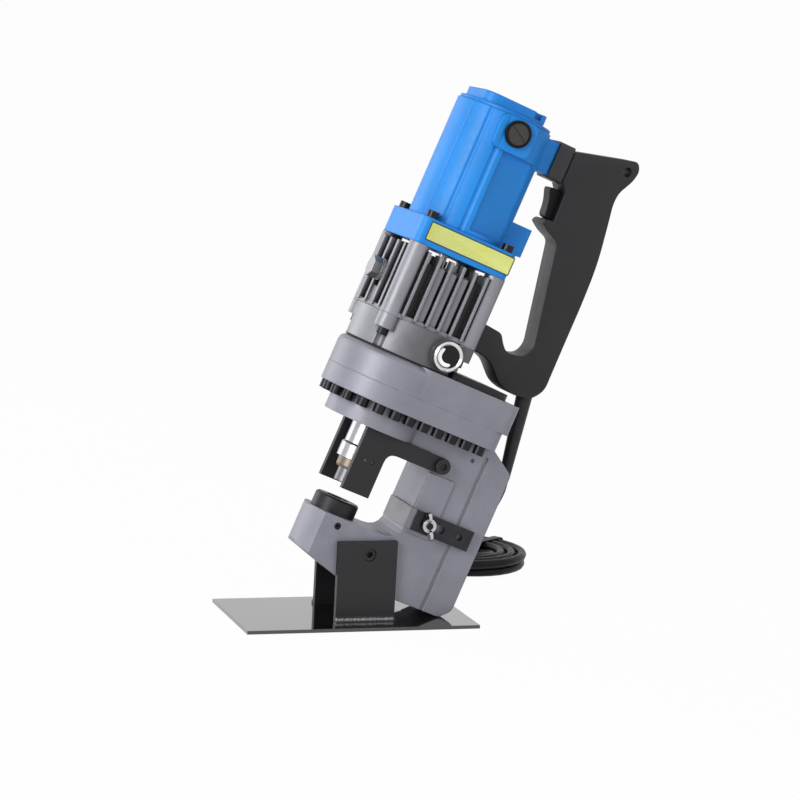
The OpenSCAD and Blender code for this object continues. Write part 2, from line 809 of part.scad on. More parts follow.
nut_v = ram_end - nut_h;
punch_head_v = ram_end - spigot_h - punch_head_h;
module punch_nut() color(brass) on_stand() difference() {
    union() {
        upward(0, 0, nut_v + nut_taper, ram_end, nut_r);
        translate([0, 0, nut_v]) cylinder(h = nut_taper, r1 = nut_r - nut_taper / 2, r2 = nut_r);
    }
    upward(0, 0, punch_head_v, ram_end + overrun, spigot_r + fit);
    upward(0, 0, nut_v - overrun, ram_end, punch_r + fit);
}

module punch() color(black_oxide) on_stand() {
    upward(0, 0, punch_rest, ram_end - spigot_h, punch_r);
    upward(0, 0, punch_head_v, ram_end - spigot_h, spigot_r);
}

module return_spring() color(bright_steel) on_stand() translate([0, 0, cyl_floor + seat_gap])
    wire_spring(spring_r, spring_wire_r, piston_v - cyl_floor - 2 * seat_gap, spring_turns);

// Cover flange: round front with a rounded top edge, and straight sides that start behind a bevel
cover_wide = half_width(cover_rear_u);
cover_side = half_width(cover_bevel);
cover_plan = soften([[0, cover_bevel - flange_r, 0], [cover_bevel, -cover_side, cover_bevel],
    [cover_rear_u, -cover_wide, flange_corner], [cover_rear_u, cover_wide, flange_corner],
    [cover_bevel, cover_side, cover_bevel], [0, flange_r - cover_bevel, 0]]);
module cover_form() {
    upward(0, 0, flange_top, cover_top - cover_round, flange_r);
    for (i = [0:len(round_shares) - 2]) let (a = round_shares[i], b = round_shares[i + 1])
        translate([0, 0, cover_top + cover_round * (a.x - 1)])
            cylinder(h = cover_round * (b.x - a.x), r1 = flange_r - cover_round * a.y,
                r2 = flange_r - cover_round * b.y);
    translate([0, 0, flange_top]) linear_extrude(height = cover_t) polygon(cover_plan);
}
module cover_flange() color(casting_grey) on_stand() difference() {
    cover_form();
    upward(0, 0, flange_top - overrun, cover_top - cover_roof, bore_r);
    upward(0, 0, flange_top, cover_top + overrun, oil_hole_r);
    for (p = screw_places)
        upward(p.x, p.y, flange_top - overrun, flange_top + flange_screw_deep, flange_screw_r + fit);
}

// Plate behind the skirt, hollowed to clear it
rear_plate_end = cover_rear_u - rear_plate_in;
module rear_plate() color(black_paint) on_stand() difference() {
    intersection() {
        translate([0, 0, cover_top]) linear_extrude(height = rear_plate_t)
            polygon(soften([for (p = [[rear_plate_u, -1], [rear_plate_end, -1], [rear_plate_end, 1],
                [rear_plate_u, 1]]) [p.x, p.y * (half_width(p.x) - rear_plate_in), flange_corner]]));
        slab(soften([[0, cover_top, 0], [rear_plate_end, cover_top, 0],
            [rear_plate_end, cover_top + rear_plate_t, rear_plate_round],
            [0, cover_top + rear_plate_t, 0]]), 2 * flange_rear_w);
    }
    upward(0, 0, cover_top - overrun, cover_top + rear_plate_t + overrun, skirt_r + seat_gap);
}

module cover_gasket() color(rubber) on_stand()
    collar_ring(cover_top, skirt_v, skirt_r, skirt_r - skirt_wall);

sight_y = skirt_r + sight_out;
module skirt() color(pump_grey) on_stand() difference() {
    union() {
        upward(0, 0, skirt_v, housing_v, skirt_r);
        four_corners(corner_bolt) upward(0, 0, housing_v - ear_h, housing_v, ear_r);
        across(sight_u, sight_v, -sight_y, -skirt_r + skirt_wall, sight_r);
    }
    upward(0, 0, skirt_v - overrun, housing_v + overrun, skirt_r - skirt_wall);
    four_corners(corner_bolt) {
        upward(0, 0, skirt_v, housing_v + overrun, corner_screw_r + fit);
        upward(0, 0, skirt_v - overrun, housing_v - ear_h, corner_head_r + free_gap);
    }
    across(sight_u, sight_v, -sight_y - overrun, -skirt_r / 2, sight_r - sight_rim);
}

module skirt_screws() color(black_oxide) on_stand() four_corners(corner_bolt)
    translate([0, 0, housing_v - ear_h]) {
        cylinder(h = ear_h + corner_screw_up, r = corner_screw_r);
        hanging_head(corner_head_r, corner_head_h);
    }

// Sight glass: raised ring on the skirt's boss and a lens seated in its bore
module sight_ring() color(bright_steel) on_stand() translate([sight_u, -sight_y, sight_v])
    rotate([90, 0, 0]) rotate_extrude() polygon([[sight_r - sight_rim, 0], [sight_r, 0],
        [sight_r, sight_ring_t / 2], [sight_r - sight_rim / 2, sight_ring_t],
        [sight_r - sight_rim, sight_ring_t / 2]]);
module sight_lens() color(glass) on_stand()
    across(sight_u, sight_v, -sight_y, lens_t - sight_y, sight_r - sight_rim - fit);

// Finned housing: square core, fins on four sides, corner columns, bottom rim and oil plug boss
fin_top = housing_top - slot_h;
plug_face_u = -housing_w / 2 - plug_boss_out;
function pitch(n) = core_w * fin_span_share / (n - 1);
module fin_row(n, t) for (i = [0:n - 1])
    translate([core_w / 2 - overrun, (i - (n - 1) / 2) * pitch(n) - t / 2, housing_v + rim_h / 2])
        cube([fin_d + overrun, t, fin_top - housing_v - rim_h / 2]);
module window_row(n, t) for (i = [0:n - 2])
    translate([0, (i - (n - 2) / 2) * pitch(n) - (pitch(n) - t) / 2, fin_top - window_h])
        cube([housing_w, pitch(n) - t, window_h + overrun]);
module infill_row() for (i = [1:fin_n - 3])
    translate([core_w / 2 - overrun, (i - (fin_n - 2) / 2) * pitch(fin_n) - pitch(fin_n) / 2, housing_v])
        cube([fin_d + overrun - infill_back, pitch(fin_n) - fin_t / 2 - infill_slit,
            fin_top - window_h - housing_v]);
module pump_housing() color(pump_grey) on_stand() difference() {
    union() {
        translate([0, 0, housing_v]) linear_extrude(height = fin_top - housing_v)
            polygon(eased_box(core_w, core_w, ear_r));
        translate([0, 0, housing_v]) linear_extrude(height = rim_h)
            polygon(eased_box(housing_w - fin_d / 2, housing_w - fin_d / 2, ear_r));
        for (a = [-90:90:90]) rotate([0, 0, a]) {
            fin_row(fin_n, fin_t);
            infill_row();
        }
        rotate([0, 0, 180]) fin_row(front_fin_n, front_fin_t);
        translate([sill_back - housing_w / 2, -pitch(front_fin_n) / 2, housing_v])
            cube([fin_d, pitch(front_fin_n), sill_h]);
        four_corners(corner_bolt) upward(0, 0, housing_v, housing_top, ear_r);
        rearward(plug_face_u, 0, 0, plug_v, plug_boss_r);
        translate([0, -handle_t / 2, foot_v + foot_rise])
            cube([housing_w / 2, handle_t, foot_h - foot_rise]);
    }
    upward(0, 0, housing_v - overrun, housing_top, cavity_r);
    upward(0, 0, bearing_plate_v, housing_top, plate_cavity_r);
    for (a = [-90:90:90]) rotate([0, 0, a]) window_row(fin_n, fin_t);
    rotate([0, 0, 180]) window_row(front_fin_n, front_fin_t);
    four_corners(corner_bolt) {
        upward(0, 0, housing_v - overrun, housing_v + corner_screw_up, corner_screw_r + fit);
        upward(0, 0, housing_top - bolt_deep, housing_top + overrun, corner_screw_r + fit);
    }
    rearward(-housing_w, 0, 0, plug_v, plug_shank_r + fit);
}

module plug_washer() color(zinc) on_stand() difference() {
    rearward(plug_face_u - washer_t, plug_face_u, 0, plug_v, washer_r);
    rearward(plug_face_u - 2 * washer_t, 0, 0, plug_v, plug_shank_r + fit);
}
module oil_plug() color(zinc) on_stand() {
    rearward(plug_face_u - washer_t, plug_face_u + plug_shank_l, 0, plug_v, plug_shank_r);
    translate([plug_face_u - washer_t - plug_head_h, 0, plug_v]) rotate([0, 90, 0])
        cylinder(h = plug_head_h, r = plug_af / sqrt(3), $fn = 6);
}

// Plunger pump on the cover flange, driven by the eccentric shaft behind the motor's axis
module pump_block() color(bright_steel) on_stand() difference() {
    upward(0, 0, cover_top, cover_top + block_h, block_r);
    upward(gear_c, 0, cam_v - free_gap, cover_top + block_h + overrun, pocket_r);
    upward(gear_c, 0, cam_v - bearing_t - free_gap, cam_v, bearing_r + fit);
    rearward(-block_r - overrun, gear_c, 0, cam_v + cam_h / 2, plunger_r + fit);
    upward(0, 0, cover_top - overrun, cam_v + cam_h / 2, oil_hole_r);
}
plunger_u = gear_c - cam_off - cam_r - seat_gap;
module plunger() color(bright_steel) on_stand()
    rearward(plunger_u - plunger_l, plunger_u, 0, cam_v + cam_h / 2, plunger_r);

module eccentric_shaft() color(bright_steel) on_stand() {
    upward(gear_c, 0, cam_v - bearing_t, gear_v + gear_t, shaft_r);
    upward(gear_c - cam_off, 0, cam_v, cam_v + cam_h, cam_r);
}
module shaft_bearings() color(bright_steel) on_stand() translate([gear_c, 0, 0]) {
    collar_ring(cam_v - bearing_t - seat_gap, cam_v - free_gap, bearing_r, shaft_r + fit);
    collar_ring(bearing_plate_v, bearing_plate_v + bearing_t, bearing_r, shaft_r + fit);
}
module bearing_plate() color(zinc) on_stand() difference() {
    upward(0, 0, bearing_plate_v, bearing_plate_v + bearing_plate_t, plate_cavity_r - seat_gap);
    upward(gear_c, 0, bearing_plate_v - overrun, bearing_plate_v + bearing_plate_t + overrun,
        bearing_r + fit);
}

// Straight-flanked gear wheel of n teeth with its bore, round the z axis
function gear_outline(n) = let (r = gear_m * n / 2, pitch = 360 / n,
    root = r - gear_m * tooth_in_share, tip = r + gear_m * tooth_out_share,
    thin = tooth_slack / r * 180 / PI)
    [for (i = [0:n - 1], p = [[root, -pitch * tooth_root_share + thin],
        [tip, -pitch * tooth_tip_share + thin], [tip, pitch * tooth_tip_share - thin],
        [root, pitch * tooth_root_share - thin]])
        p.x * [cos(i * pitch + p.y), sin(i * pitch + p.y)]];
module gear(n, turn) rotate([0, 0, turn]) linear_extrude(height = gear_t) polygon(gear_outline(n));
module drive_gear() color(bright_steel) on_stand() translate([gear_c, 0, gear_v]) difference() {
    gear(gear_n, 180 + 180 / gear_n);
    translate([0, 0, -overrun]) cylinder(h = gear_t + 2 * overrun, r = shaft_r + fit);
}

// Motor base: square flange with the lower bearing's seat and the corner bolts
base_bearing_v = base_v + (base_h - motor_bearing_t) / 2;
module motor_base() color(motor_blue) on_stand() difference() {
    translate([0, 0, base_v]) linear_extrude(height = base_h)
        polygon(eased_box(base_w, base_w, base_corner));
    upward(0, 0, base_v - overrun, motor_v + overrun, rotor_shaft_r + free_gap);
    upward(0, 0, base_bearing_v, motor_v + overrun, motor_bearing_r + fit);
    four_corners(corner_bolt) upward(0, 0, base_v - overrun, motor_v + overrun, corner_screw_r + fit);
}
module motor_bolts() color(black_oxide) on_stand() four_corners(corner_bolt) {
    upward(0, 0, base_v - bolt_deep + free_gap, motor_v, corner_screw_r);
    difference() {
        upward(0, 0, motor_v, motor_v + bolt_head_h, bolt_head_r);
        translate([0, 0, motor_v + bolt_head_h]) socket(bolt_head_r, bolt_head_h * socket_deep_share);
    }
}

// Motor housing: round body with flutes, a recessed side panel, brush bosses, handle arm and rear lug
motor_in_r = motor_r - motor_wall;
module motor_housing() color(motor_blue) on_stand() difference() {
    union() {
        upward(0, 0, motor_v, motor_top, motor_r);
        translate([0, 0, motor_top - boss_h / 2]) slab(eased_box(boss_w, boss_h, boss_corner), 2 * boss_out);
        translate([0, -motor_arm_w / 2, motor_arm_v]) cube([motor_arm_u, motor_arm_w, motor_arm_h]);
        translate([0, -rear_lug_w / 2, rear_lug_v]) cube([rear_lug_u, rear_lug_w, rear_lug_h]);
    }
    upward(0, 0, motor_v - overrun, motor_top + overrun, motor_in_r);
    across(0, brush_v, -boss_out - overrun, boss_out + overrun, holder_r + fit);
    both_sides() {
        rotate([0, 0, panel_angle]) translate([motor_r - panel_deep, -panel_w / 2, motor_v + panel_rise])
            cube([motor_r, panel_w, panel_h]);
        for (a = flute_angles) rotate([0, 0, a])
            upward(motor_r + flute_r - flute_deep, 0, motor_v - overrun, motor_top + overrun, flute_r);
    }
    four_corners(corner_bolt)
        upward(0, 0, motor_v - overrun, motor_v + bolt_head_h + free_gap, bolt_head_r + free_gap);
}

// End cap: low rim, a raised block with two notches, and the upper bearing's seat under it
cap_seat = 1;
top_bearing_v = motor_top - bearing_t + cap_seat;
module end_cap() color(motor_blue) on_stand() difference() {
    union() {
        upward(0, 0, motor_top, motor_top + cap_rim_h, motor_r - cap_rim_in);
        translate([-cap_back, 0, motor_top]) linear_extrude(height = cap_h)
            polygon(eased_box(cap_l, cap_w, cap_corner));
        upward(0, 0, top_bearing_v, motor_top + cap_seat, bearing_r + seat_wall);
    }
    both_sides() translate([cap_notch_u, cap_w / 2 - cap_notch_d, motor_top + cap_h - cap_notch_h])
        cube([cap_notch_w, cap_notch_d + overrun, cap_notch_h + overrun]);
    upward(0, 0, top_bearing_v - overrun, top_bearing_v + bearing_t, bearing_r + fit);
}

// Brush gear on both sides: slotted cap, holder tube, carbon brush and its spring
module brush_caps() color(black_plastic) on_stand() both_sides() difference() {
    across(0, brush_v, boss_out, boss_out + brush_cap_t, brush_cap_r);
    translate([0, boss_out + brush_cap_t, brush_v]) rotate([0, brush_slot_turn, 0])
        cube([2 * brush_cap_r * brush_slot_share, brush_cap_t, brush_slot_w], center = true);
}
brush_y = commutator_r + free_gap;
module brush_holders() color(brass) on_stand() both_sides() difference() {
    across(0, brush_v, brush_y + holder_in, boss_out - seat_gap, holder_r);
    translate([-brush_w / 2 - fit, 0, brush_v - brush_w / 2 - fit])
        cube([brush_w + 2 * fit, boss_out - holder_end, brush_w + 2 * fit]);
}
module carbon_brushes() color(black_oxide) on_stand() both_sides()
    translate([-brush_w / 2, brush_y, brush_v - brush_w / 2]) cube([brush_w, brush_l, brush_w]);
module brush_springs() color(bright_steel) on_stand() both_sides()
    translate([0, brush_y + brush_l + seat_gap, brush_v]) rotate([-90, 0, 0])
        wire_spring(brush_spring_r, brush_wire_r, boss_out - holder_end - brush_y - brush_l - 2 * seat_gap,
            brush_spring_turns);

// Stator and rotor
module stator() color(zinc) on_stand()
    collar_ring(stack_v, stack_v + stack_h, motor_in_r - seat_gap, rotor_r + rotor_gap);
coil_ends = [stack_v - coil_end_h, stack_v + stack_h];
module field_coils() color(copper) on_stand() for (v = coil_ends, a = [-90, 90])
    translate([0, 0, v]) rotate([0, 0, a - coil_span / 2]) rotate_extrude(angle = coil_span)
        translate([coil_end_in, 0]) square([coil_end_r - coil_end_in, coil_end_h]);
module armature() color(copper) on_stand() {
    collar_ring(stack_v, stack_v + stack_h, rotor_r, rotor_shaft_r + fit);
    for (v = coil_ends) collar_ring(v, v + coil_end_h, winding_r, rotor_shaft_r + fit);
}
module armature_shaft() color(bright_steel) on_stand() {
    upward(0, 0, gear_v + gear_t, top_bearing_v + bearing_t - fit, rotor_shaft_r);
    translate([0, 0, gear_v]) gear(pinion_n, 0);
}
module commutator() color(copper) on_stand()
    collar_ring(brush_v - commutator_h / 2, brush_v + commutator_h / 2, commutator_r, rotor_shaft_r + fit);
module fan() color(black_plastic) on_stand() difference() {
    union() {
        upward(0, 0, motor_v + free_gap, motor_v + fan_disc_t + free_gap, fan_r);
        upward(0, 0, motor_v + free_gap, motor_v + fan_h, fan_hub_r);
        for (i = [0:fan_blades - 1]) rotate([0, 0, 360 * i / fan_blades])
            translate([0, -fan_blade_t / 2, motor_v + free_gap])
                cube([fan_r - fan_blade_t, fan_blade_t, fan_h - free_gap]);
    }
    upward(0, 0, motor_v - overrun, motor_v + fan_h + overrun, rotor_shaft_r + fit);
}
module motor_bearings() color(bright_steel) on_stand() {
    collar_ring(base_bearing_v, base_bearing_v + motor_bearing_t, motor_bearing_r, rotor_shaft_r + fit);
    collar_ring(top_bearing_v, top_bearing_v + bearing_t, bearing_r, rotor_shaft_r + fit);
}

// Handle: collar on the motor's arm and two shells with pockets for switch and trigger
module handle_collar() color(black_plastic) on_stand()
    translate([0, 0, motor_arm_v + motor_arm_h / 2]) fore_aft(motor_arm_u, collar_l,
        eased_box(motor_arm_w + 2 * collar_rim, motor_arm_h + 2 * collar_rim, 2 * collar_rim));
function on_handle(p) = [handle_u + p.x * handle_reach, handle_v + p.y * handle_h];
handle_outline = soften(concat(
    [for (p = handle_upper_shares) [on_handle(p).x, on_handle(p).y, p.z * handle_corner]],
    [[foot_u, foot_v, 0], [foot_u, foot_v + foot_h, 0]],
    [for (p = handle_lower_shares) [on_handle(p).x, on_handle(p).y, p.z * handle_corner]]));
trigger_back_u = handle_u + trigger_in;
switch_u = trigger_back_u + trigger_travel + free_gap;
handle_half = handle_t / 2;
module handle_solid() difference() {
    slab(handle_outline, handle_t);
    across(eye_u, eye_v, -handle_t, handle_t, eye_r);
    translate([handle_u - trigger_in, -trigger_w / 2 - free_gap, trigger_v - free_gap])
        cube([2 * trigger_in + trigger_travel + free_gap, trigger_w + 2 * free_gap,
            trigger_h + 2 * free_gap]);
    translate([switch_u - fit, -switch_w / 2 - fit, trigger_v - switch_extra - fit])
        cube([switch_l + 2 * fit, switch_w + 2 * fit, trigger_h + 2 * (switch_extra + fit)]);
    for (s = handle_screw_shares) translate([on_handle(s).x, 0, on_handle(s).y]) {
        across(0, 0, handle_half - handle_screw_l, handle_t, handle_screw_r + fit);
        across(0, 0, handle_half - handle_head_h, handle_t, handle_head_r + fit);
    }
}
module half(side) translate([0, side < 0 ? -handle_t : 0, 0]) cube([2 * back_u, handle_t, 2 * motor_top]);
module handle_near() color(black_plastic) on_stand() intersection() {
    handle_solid();
    half(-1);
}
module handle_far() color(black_plastic) on_stand() intersection() {
    handle_solid();
    half(1);
}
module handle_screws() color(black_oxide) on_stand() for (s = handle_screw_shares)
    translate([on_handle(s).x, 0, on_handle(s).y]) {
        across(0, 0, handle_half - handle_screw_l + free_gap, handle_half - handle_head_h, handle_screw_r);
        difference() {
            across(0, 0, handle_half - handle_head_h, handle_half - seat_gap, handle_head_r);
            translate([0, handle_half - seat_gap, 0]) rotate([-90, 0, 0])
                socket(handle_head_r, handle_head_h * socket_deep_share);
        }
    }
module switch_body() color(black_plastic) on_stand()
    translate([switch_u, -switch_w / 2, trigger_v - switch_extra])
        cube([switch_l, switch_w, trigger_h + 2 * switch_extra]);
trigger_outline = soften([[trigger_back_u, trigger_v, 0], [trigger_back_u, trigger_v + trigger_h, 0],
    [handle_u - trigger_out, trigger_v + trigger_h, trigger_nose], [handle_u - trigger_out + trigger_dip,
    trigger_v + trigger_h / 2, trigger_h], [handle_u, trigger_v, trigger_nose]]);
module trigger() color(black_plastic) on_stand() slab(trigger_outline, trigger_w);

// Cord boot hanging from inside the handle's knee
boot_top = placed(on_handle(boot_share).x, on_handle(boot_share).y);
boot_end = [boot_top.x - boot_lean, 0, boot_top.y - boot_l];
module cord_boot() color(rubber) difference() {
    translate(boot_end) rotate([0, atan2(boot_lean, boot_l), 0])
        cylinder(h = norm([boot_lean, boot_l]), r1 = boot_end_r, r2 = boot_r);
    on_stand() slab(handle_outline, 2 * handle_t);
}

// Coil: wound in and out in layers from its top, with a half turn of climb where the spiral turns
coil_pitch = cord_d + coil_spread;
layer_pitch = cord_d + layer_gap;
coil_out_r = coil_r + layer_turns * coil_pitch;
coil_z = tie_t + seat_gap + cord_r;
layer_period = layer_turns + climb_turns;
coil_turns = coil_layers * layer_turns + (coil_layers - 1) * climb_turns;
function ease(t) = t * t * (3 - 2 * t);
function coil_point(s) = let (
    k = min(floor(s / layer_period), coil_layers - 1), local = s - k * layer_period,
    wound = min(local, layer_turns) * coil_pitch, drop = max(0, (local - layer_turns) / climb_turns),
    r = k % 2 == 0 ? coil_out_r - wound : coil_r + wound, a = 270 + 360 * s)
    [coil_x + r * cos(a), coil_y + r * sin(a), coil_z + (coil_layers - 1 - k - ease(drop)) * layer_pitch];
coil_rings = round(coil_turns * loop_rings);
coil_path = [for (i = [0:coil_rings]) coil_point(coil_turns * i / coil_rings)];
coil_lead = coil_path[0] - [cord_d, 0, 0];
coil_end = coil_path[coil_rings] - [cord_d, 0, 0];
tail_route = [for (p = tail_shares) coil_end + [p.x * cord_d, 0, p.y * (plug_r - coil_z)]];
coil_tube = concat([coil_lead], coil_path, [coil_end], tail_route);
module cord_coil() color(rubber) tube(coil_tube, cord_r, coil_sides, [0, 0, 1]);

// Cord from the boot to the coil, bowed sideways by shares of the boot's height
cord_route = [for (p = route_shares) [boot_end.x + p.y * (coil_lead.x - boot_end.x) + p.x * boot_end.z,
    p.y * coil_lead.y, coil_lead.z + p.z * (boot_end.z - coil_lead.z)]];
module cord() color(rubber) tube(cord_route, cord_r, cord_sides, [1, 1, 1]);

// Least gap between the coil's turns, measured between points at least a quarter turn apart
least_gap = min([for (i = [0:coil_rings], j = [i + loop_rings / 4:coil_rings])
    norm(coil_path[i] - coil_path[j])]) - cord_d;
echo(least_gap = least_gap);

// Strap round the bundle on the coil's far side
tie_in_w = coil_out_r - coil_r + cord_d + tie_slack;
tie_in_h = (coil_layers - 1) * layer_pitch + cord_d + 2 * seat_gap;
module cord_tie() color(rubber) translate([coil_x + (coil_out_r + coil_r) / 2 * cos(tie_angle),
    coil_y + (coil_out_r + coil_r) / 2 * sin(tie_angle), tie_t + tie_in_h / 2]) rotate([0, 0, tie_angle])
    rotate([90, 0, 0]) linear_extrude(height = tie_w, center = true) difference() {
        square([tie_in_w + 2 * tie_t, tie_in_h + 2 * tie_t], center = true);
        square([tie_in_w, tie_in_h], center = true);
    }

// Round plug with two pins, lying on the ground at the tail's end
tail_end = tail_route[len(tail_route) - 1];
module cord_plug() color(black_plastic) translate(tail_end) rotate([0, -90, 0]) {
    cylinder(h = plug_neck_l, r1 = plug_neck_r, r2 = plug_mid_r);
    translate([0, 0, plug_neck_l]) cylinder(h = plug_l, r1 = plug_mid_r, r2 = plug_r);
    for (s = [-1, 1]) translate([0, s * pin_pitch / 2, plug_neck_l + plug_l - overrun])
        cylinder(h = pin_l + overrun, r = pin_r);
}

base_plate();
near_upright();
far_upright();
stand_bolts();
c_frame();
flange_screws();
die();
die_set_screw();
stripper();
stripper_bolts();
gauge_bar();
gauge_screw();
ram();
piston_seal();
wiper_seal();
punch_nut();
punch();
return_spring();
cover_flange();
rear_plate();
cover_gasket();
skirt();
skirt_screws();
sight_ring();
sight_lens();
pump_housing();
oil_plug();
plug_washer();
pump_block();
plunger();
eccentric_shaft();
shaft_bearings();
bearing_plate();
drive_gear();
motor_base();
motor_bolts();
motor_housing();
end_cap();
brush_caps();
brush_holders();
carbon_brushes();
brush_springs();
stator();
field_coils();
armature();
armature_shaft();
commutator();
fan();
motor_bearings();
handle_collar();
handle_near();
handle_far();
handle_screws();
switch_body();
trigger();
cord_boot();
cord();
cord_coil();
cord_tie();
cord_plug();
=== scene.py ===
"""Looks of a portable hydraulic hole punch: its castings, motor, tooling and handle, with the cord and trim."""

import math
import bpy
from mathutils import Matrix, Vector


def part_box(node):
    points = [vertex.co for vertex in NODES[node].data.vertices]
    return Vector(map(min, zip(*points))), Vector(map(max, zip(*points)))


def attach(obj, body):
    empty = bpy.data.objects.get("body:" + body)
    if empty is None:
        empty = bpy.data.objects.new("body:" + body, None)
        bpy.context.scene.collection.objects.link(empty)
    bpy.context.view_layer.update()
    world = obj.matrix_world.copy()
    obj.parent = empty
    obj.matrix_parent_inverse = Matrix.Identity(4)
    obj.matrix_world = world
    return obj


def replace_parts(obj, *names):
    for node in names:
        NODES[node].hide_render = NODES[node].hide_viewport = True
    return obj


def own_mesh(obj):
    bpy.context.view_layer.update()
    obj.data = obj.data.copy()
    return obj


bl_info = {
    "name": "Hydraulic Hole Punch Looks",
    "version": (1, 0, 0),
    "blender": (4, 5, 0),
    "location": "View3D > Sidebar > Hole Punch",
    "description": "Dresses the machine with paint, cast metal, plated steel, plastic and its mains cord",
    "category": "Object",
}

import bmesh
import bpy
from bpy.props import FloatProperty, FloatVectorProperty, IntProperty, PointerProperty
from mathutils import Matrix, Vector

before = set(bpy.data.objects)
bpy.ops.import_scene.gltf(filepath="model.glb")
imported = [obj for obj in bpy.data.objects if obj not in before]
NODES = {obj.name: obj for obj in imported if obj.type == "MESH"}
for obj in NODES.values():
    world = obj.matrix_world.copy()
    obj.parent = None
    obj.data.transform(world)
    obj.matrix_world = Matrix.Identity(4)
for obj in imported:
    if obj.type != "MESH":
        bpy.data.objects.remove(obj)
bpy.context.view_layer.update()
BODY = "machine"
MM = 0.001
WHITE = (1.0, 1.0, 1.0, 1.0)

# The machine leans about the top of its die
LEAN = math.radians(21.7)
DIE_TOP = Vector((-0.0115, 0.0, 0.102766))
TILT = Matrix.Translation(DIE_TOP) @ Matrix.Rotation(LEAN, 4, "Y")
REARWARD, ACROSS, UPWARD = TILT.to_3x3().col


def leaned(u, y, v):
    """Point on the leaning machine: u behind the punch axis, y across, v above the die, in millimetres."""
    return TILT @ Vector((u * MM, y * MM, v * MM))


# Settings that a user would change


def angle_setting(name, description, degrees):
    """Setting shown in degrees."""
    return FloatProperty(name=name, description=description, default=math.radians(degrees),
                         subtype="ANGLE", unit="ROTATION")


def length_setting(name, description, metres):
    """Setting shown as a length."""
    return FloatProperty(name=name, description=description, default=metres, subtype="DISTANCE", unit="LENGTH")


def light_setting(name, description, power):
    """Setting of a light, which can't be negative."""
    return FloatProperty(name=name, description=description, default=power, min=0.0)


def colour_setting(name, description, colour):
    """Setting shown as a colour."""
    return FloatVectorProperty(name=name, description=description, default=colour, subtype="COLOR", size=3,
                               min=0.0, max=1.0)


class StageSettings(bpy.types.PropertyGroup):
    """Camera and light of the studio"""

    azimuth: angle_setting("Azimuth", "Camera's turn about the machine", -18.6)
    elevation: angle_setting("Elevation", "Camera's height angle", 9.0)
    roll: angle_setting("Roll", "Camera's tilt about its own view", 3.05)
    distance: length_setting("Distance", "Camera's distance from its target", 2.4)
    lens: FloatProperty(name="Lens", description="Focal length on a 36 mm sensor", default=127.2, min=10.0)
    target: FloatVectorProperty(name="Target", description="Point at the middle of the picture",
                                default=(0.0394, 0.0003, 0.1865), subtype="TRANSLATION", unit="LENGTH")
    key: light_setting("Key light", "Power of the large lamp on the left", 24.0)
    fill: light_setting("Fill light", "Power of the lamp on the right", 3.0)
    rim: light_setting("Rim light", "Power of the lamp behind on the left", 7.5)
    sky: light_setting("Room light", "Strength of the even room light", 0.33)


class PaintSettings(bpy.types.PropertyGroup):
    """Colours of the machine's finishes"""

    casting: colour_setting("Frame paint", "Paint on the cast frame and cover", (0.262, 0.262, 0.312))
    pump: colour_setting("Pump casting", "Finish of the finned pump housing", (0.285, 0.285, 0.318))
    motor: colour_setting("Motor enamel", "Enamel on the motor and its base", (0.003, 0.262, 0.80))
    stand: colour_setting("Black paint", "Paint on the stand and the stripper", (0.010, 0.010, 0.012))
    plastic: colour_setting("Handle plastic", "Moulded plastic of the handle", (0.008, 0.008, 0.010))
    plate: colour_setting("Plate yellow", "Enamel of the bare plate on the motor's base", (0.80, 0.84, 0.20))


class TrimSettings(bpy.types.PropertyGroup):
    """Sizes of the cord and the small trim"""

    cord_diameter: length_setting("Cord diameter", "Outer diameter of the mains cord", 0.008)
    coil_layers: IntProperty(name="Coil layers", description="Layers in the put-away coil",
                             default=2, min=2, max=4)
    layer_turns: FloatProperty(name="Layer turns", description="Turns wound in or out on each layer", default=3.0)
    plate_length: length_setting("Plate length", "Length of the bare yellow plate", 0.081)
    plate_height: length_setting("Plate height", "Height of the bare yellow plate", 0.0165)
    ripple: length_setting("Weld ripple", "Distance between the ripples of a weld bead", 0.0013)


def stage_settings():
    return bpy.context.scene.punch_stage


def paint():
    return bpy.context.scene.punch_paint


def trim():
    return bpy.context.scene.punch_trim


# Node trees


class Wire:
    """A node's output that takes part in Python sums."""

    def __init__(self, graph, socket):
        self.graph = graph
        self.socket = socket

    def __add__(self, other):
        return self.graph.calc("ADD", self, other)

    def __sub__(self, other):
        return self.graph.calc("SUBTRACT", self, other)

    def __rsub__(self, other):
        return self.graph.calc("SUBTRACT", other, self)

    def __mul__(self, other):
        return self.graph.calc("MULTIPLY", self, other)

    def out(self, name):
        """Another output of the same node."""
        return Wire(self.graph, self.socket.node.outputs[name])


class Graph:
    """A node tree whose nodes are written as Python expressions."""

    def __init__(self, tree):
        self.tree = tree
        tree.nodes.clear()

    def node(self, kind, sockets=None, output=0, **settings):
        """Any node by its type, the values or wires of its sockets, and its settings."""
        made = self.tree.nodes.new(kind)
        for key, value in settings.items():
            setattr(made, key, value)
        for key, value in (sockets or {}).items():
            if isinstance(value, Wire):
                self.tree.links.new(value.socket, made.inputs[key])
            else:
                made.inputs[key].default_value = value
        return Wire(self, made.outputs[output]) if made.outputs else None

    def calc(self, operation, *values):
        """Math on numbers or wires."""
        return self.node("ShaderNodeMath", dict(enumerate(values)), operation=operation)

    def spread(self, value, low, high, first=0.0, last=1.0):
        """Value from low to high laid out from first to last, and held there."""
        return self.node("ShaderNodeMapRange", {"Value": value, "From Min": low, "From Max": high,
                                                "To Min": first, "To Max": last}, clamp=True)

    def seen(self):
        """One for rays that come from the camera, directly or by way of a gloss or a clear face."""
        path = self.node("ShaderNodeLightPath")
        rays = path.out("Is Camera Ray") + path.out("Is Glossy Ray") + path.out("Is Transmission Ray")
        return self.spread(rays, 0.0, 1.0)

    def mix_shader(self, factor, first, second):
        return self.node("ShaderNodeMixShader", {0: factor, 1: first, 2: second})


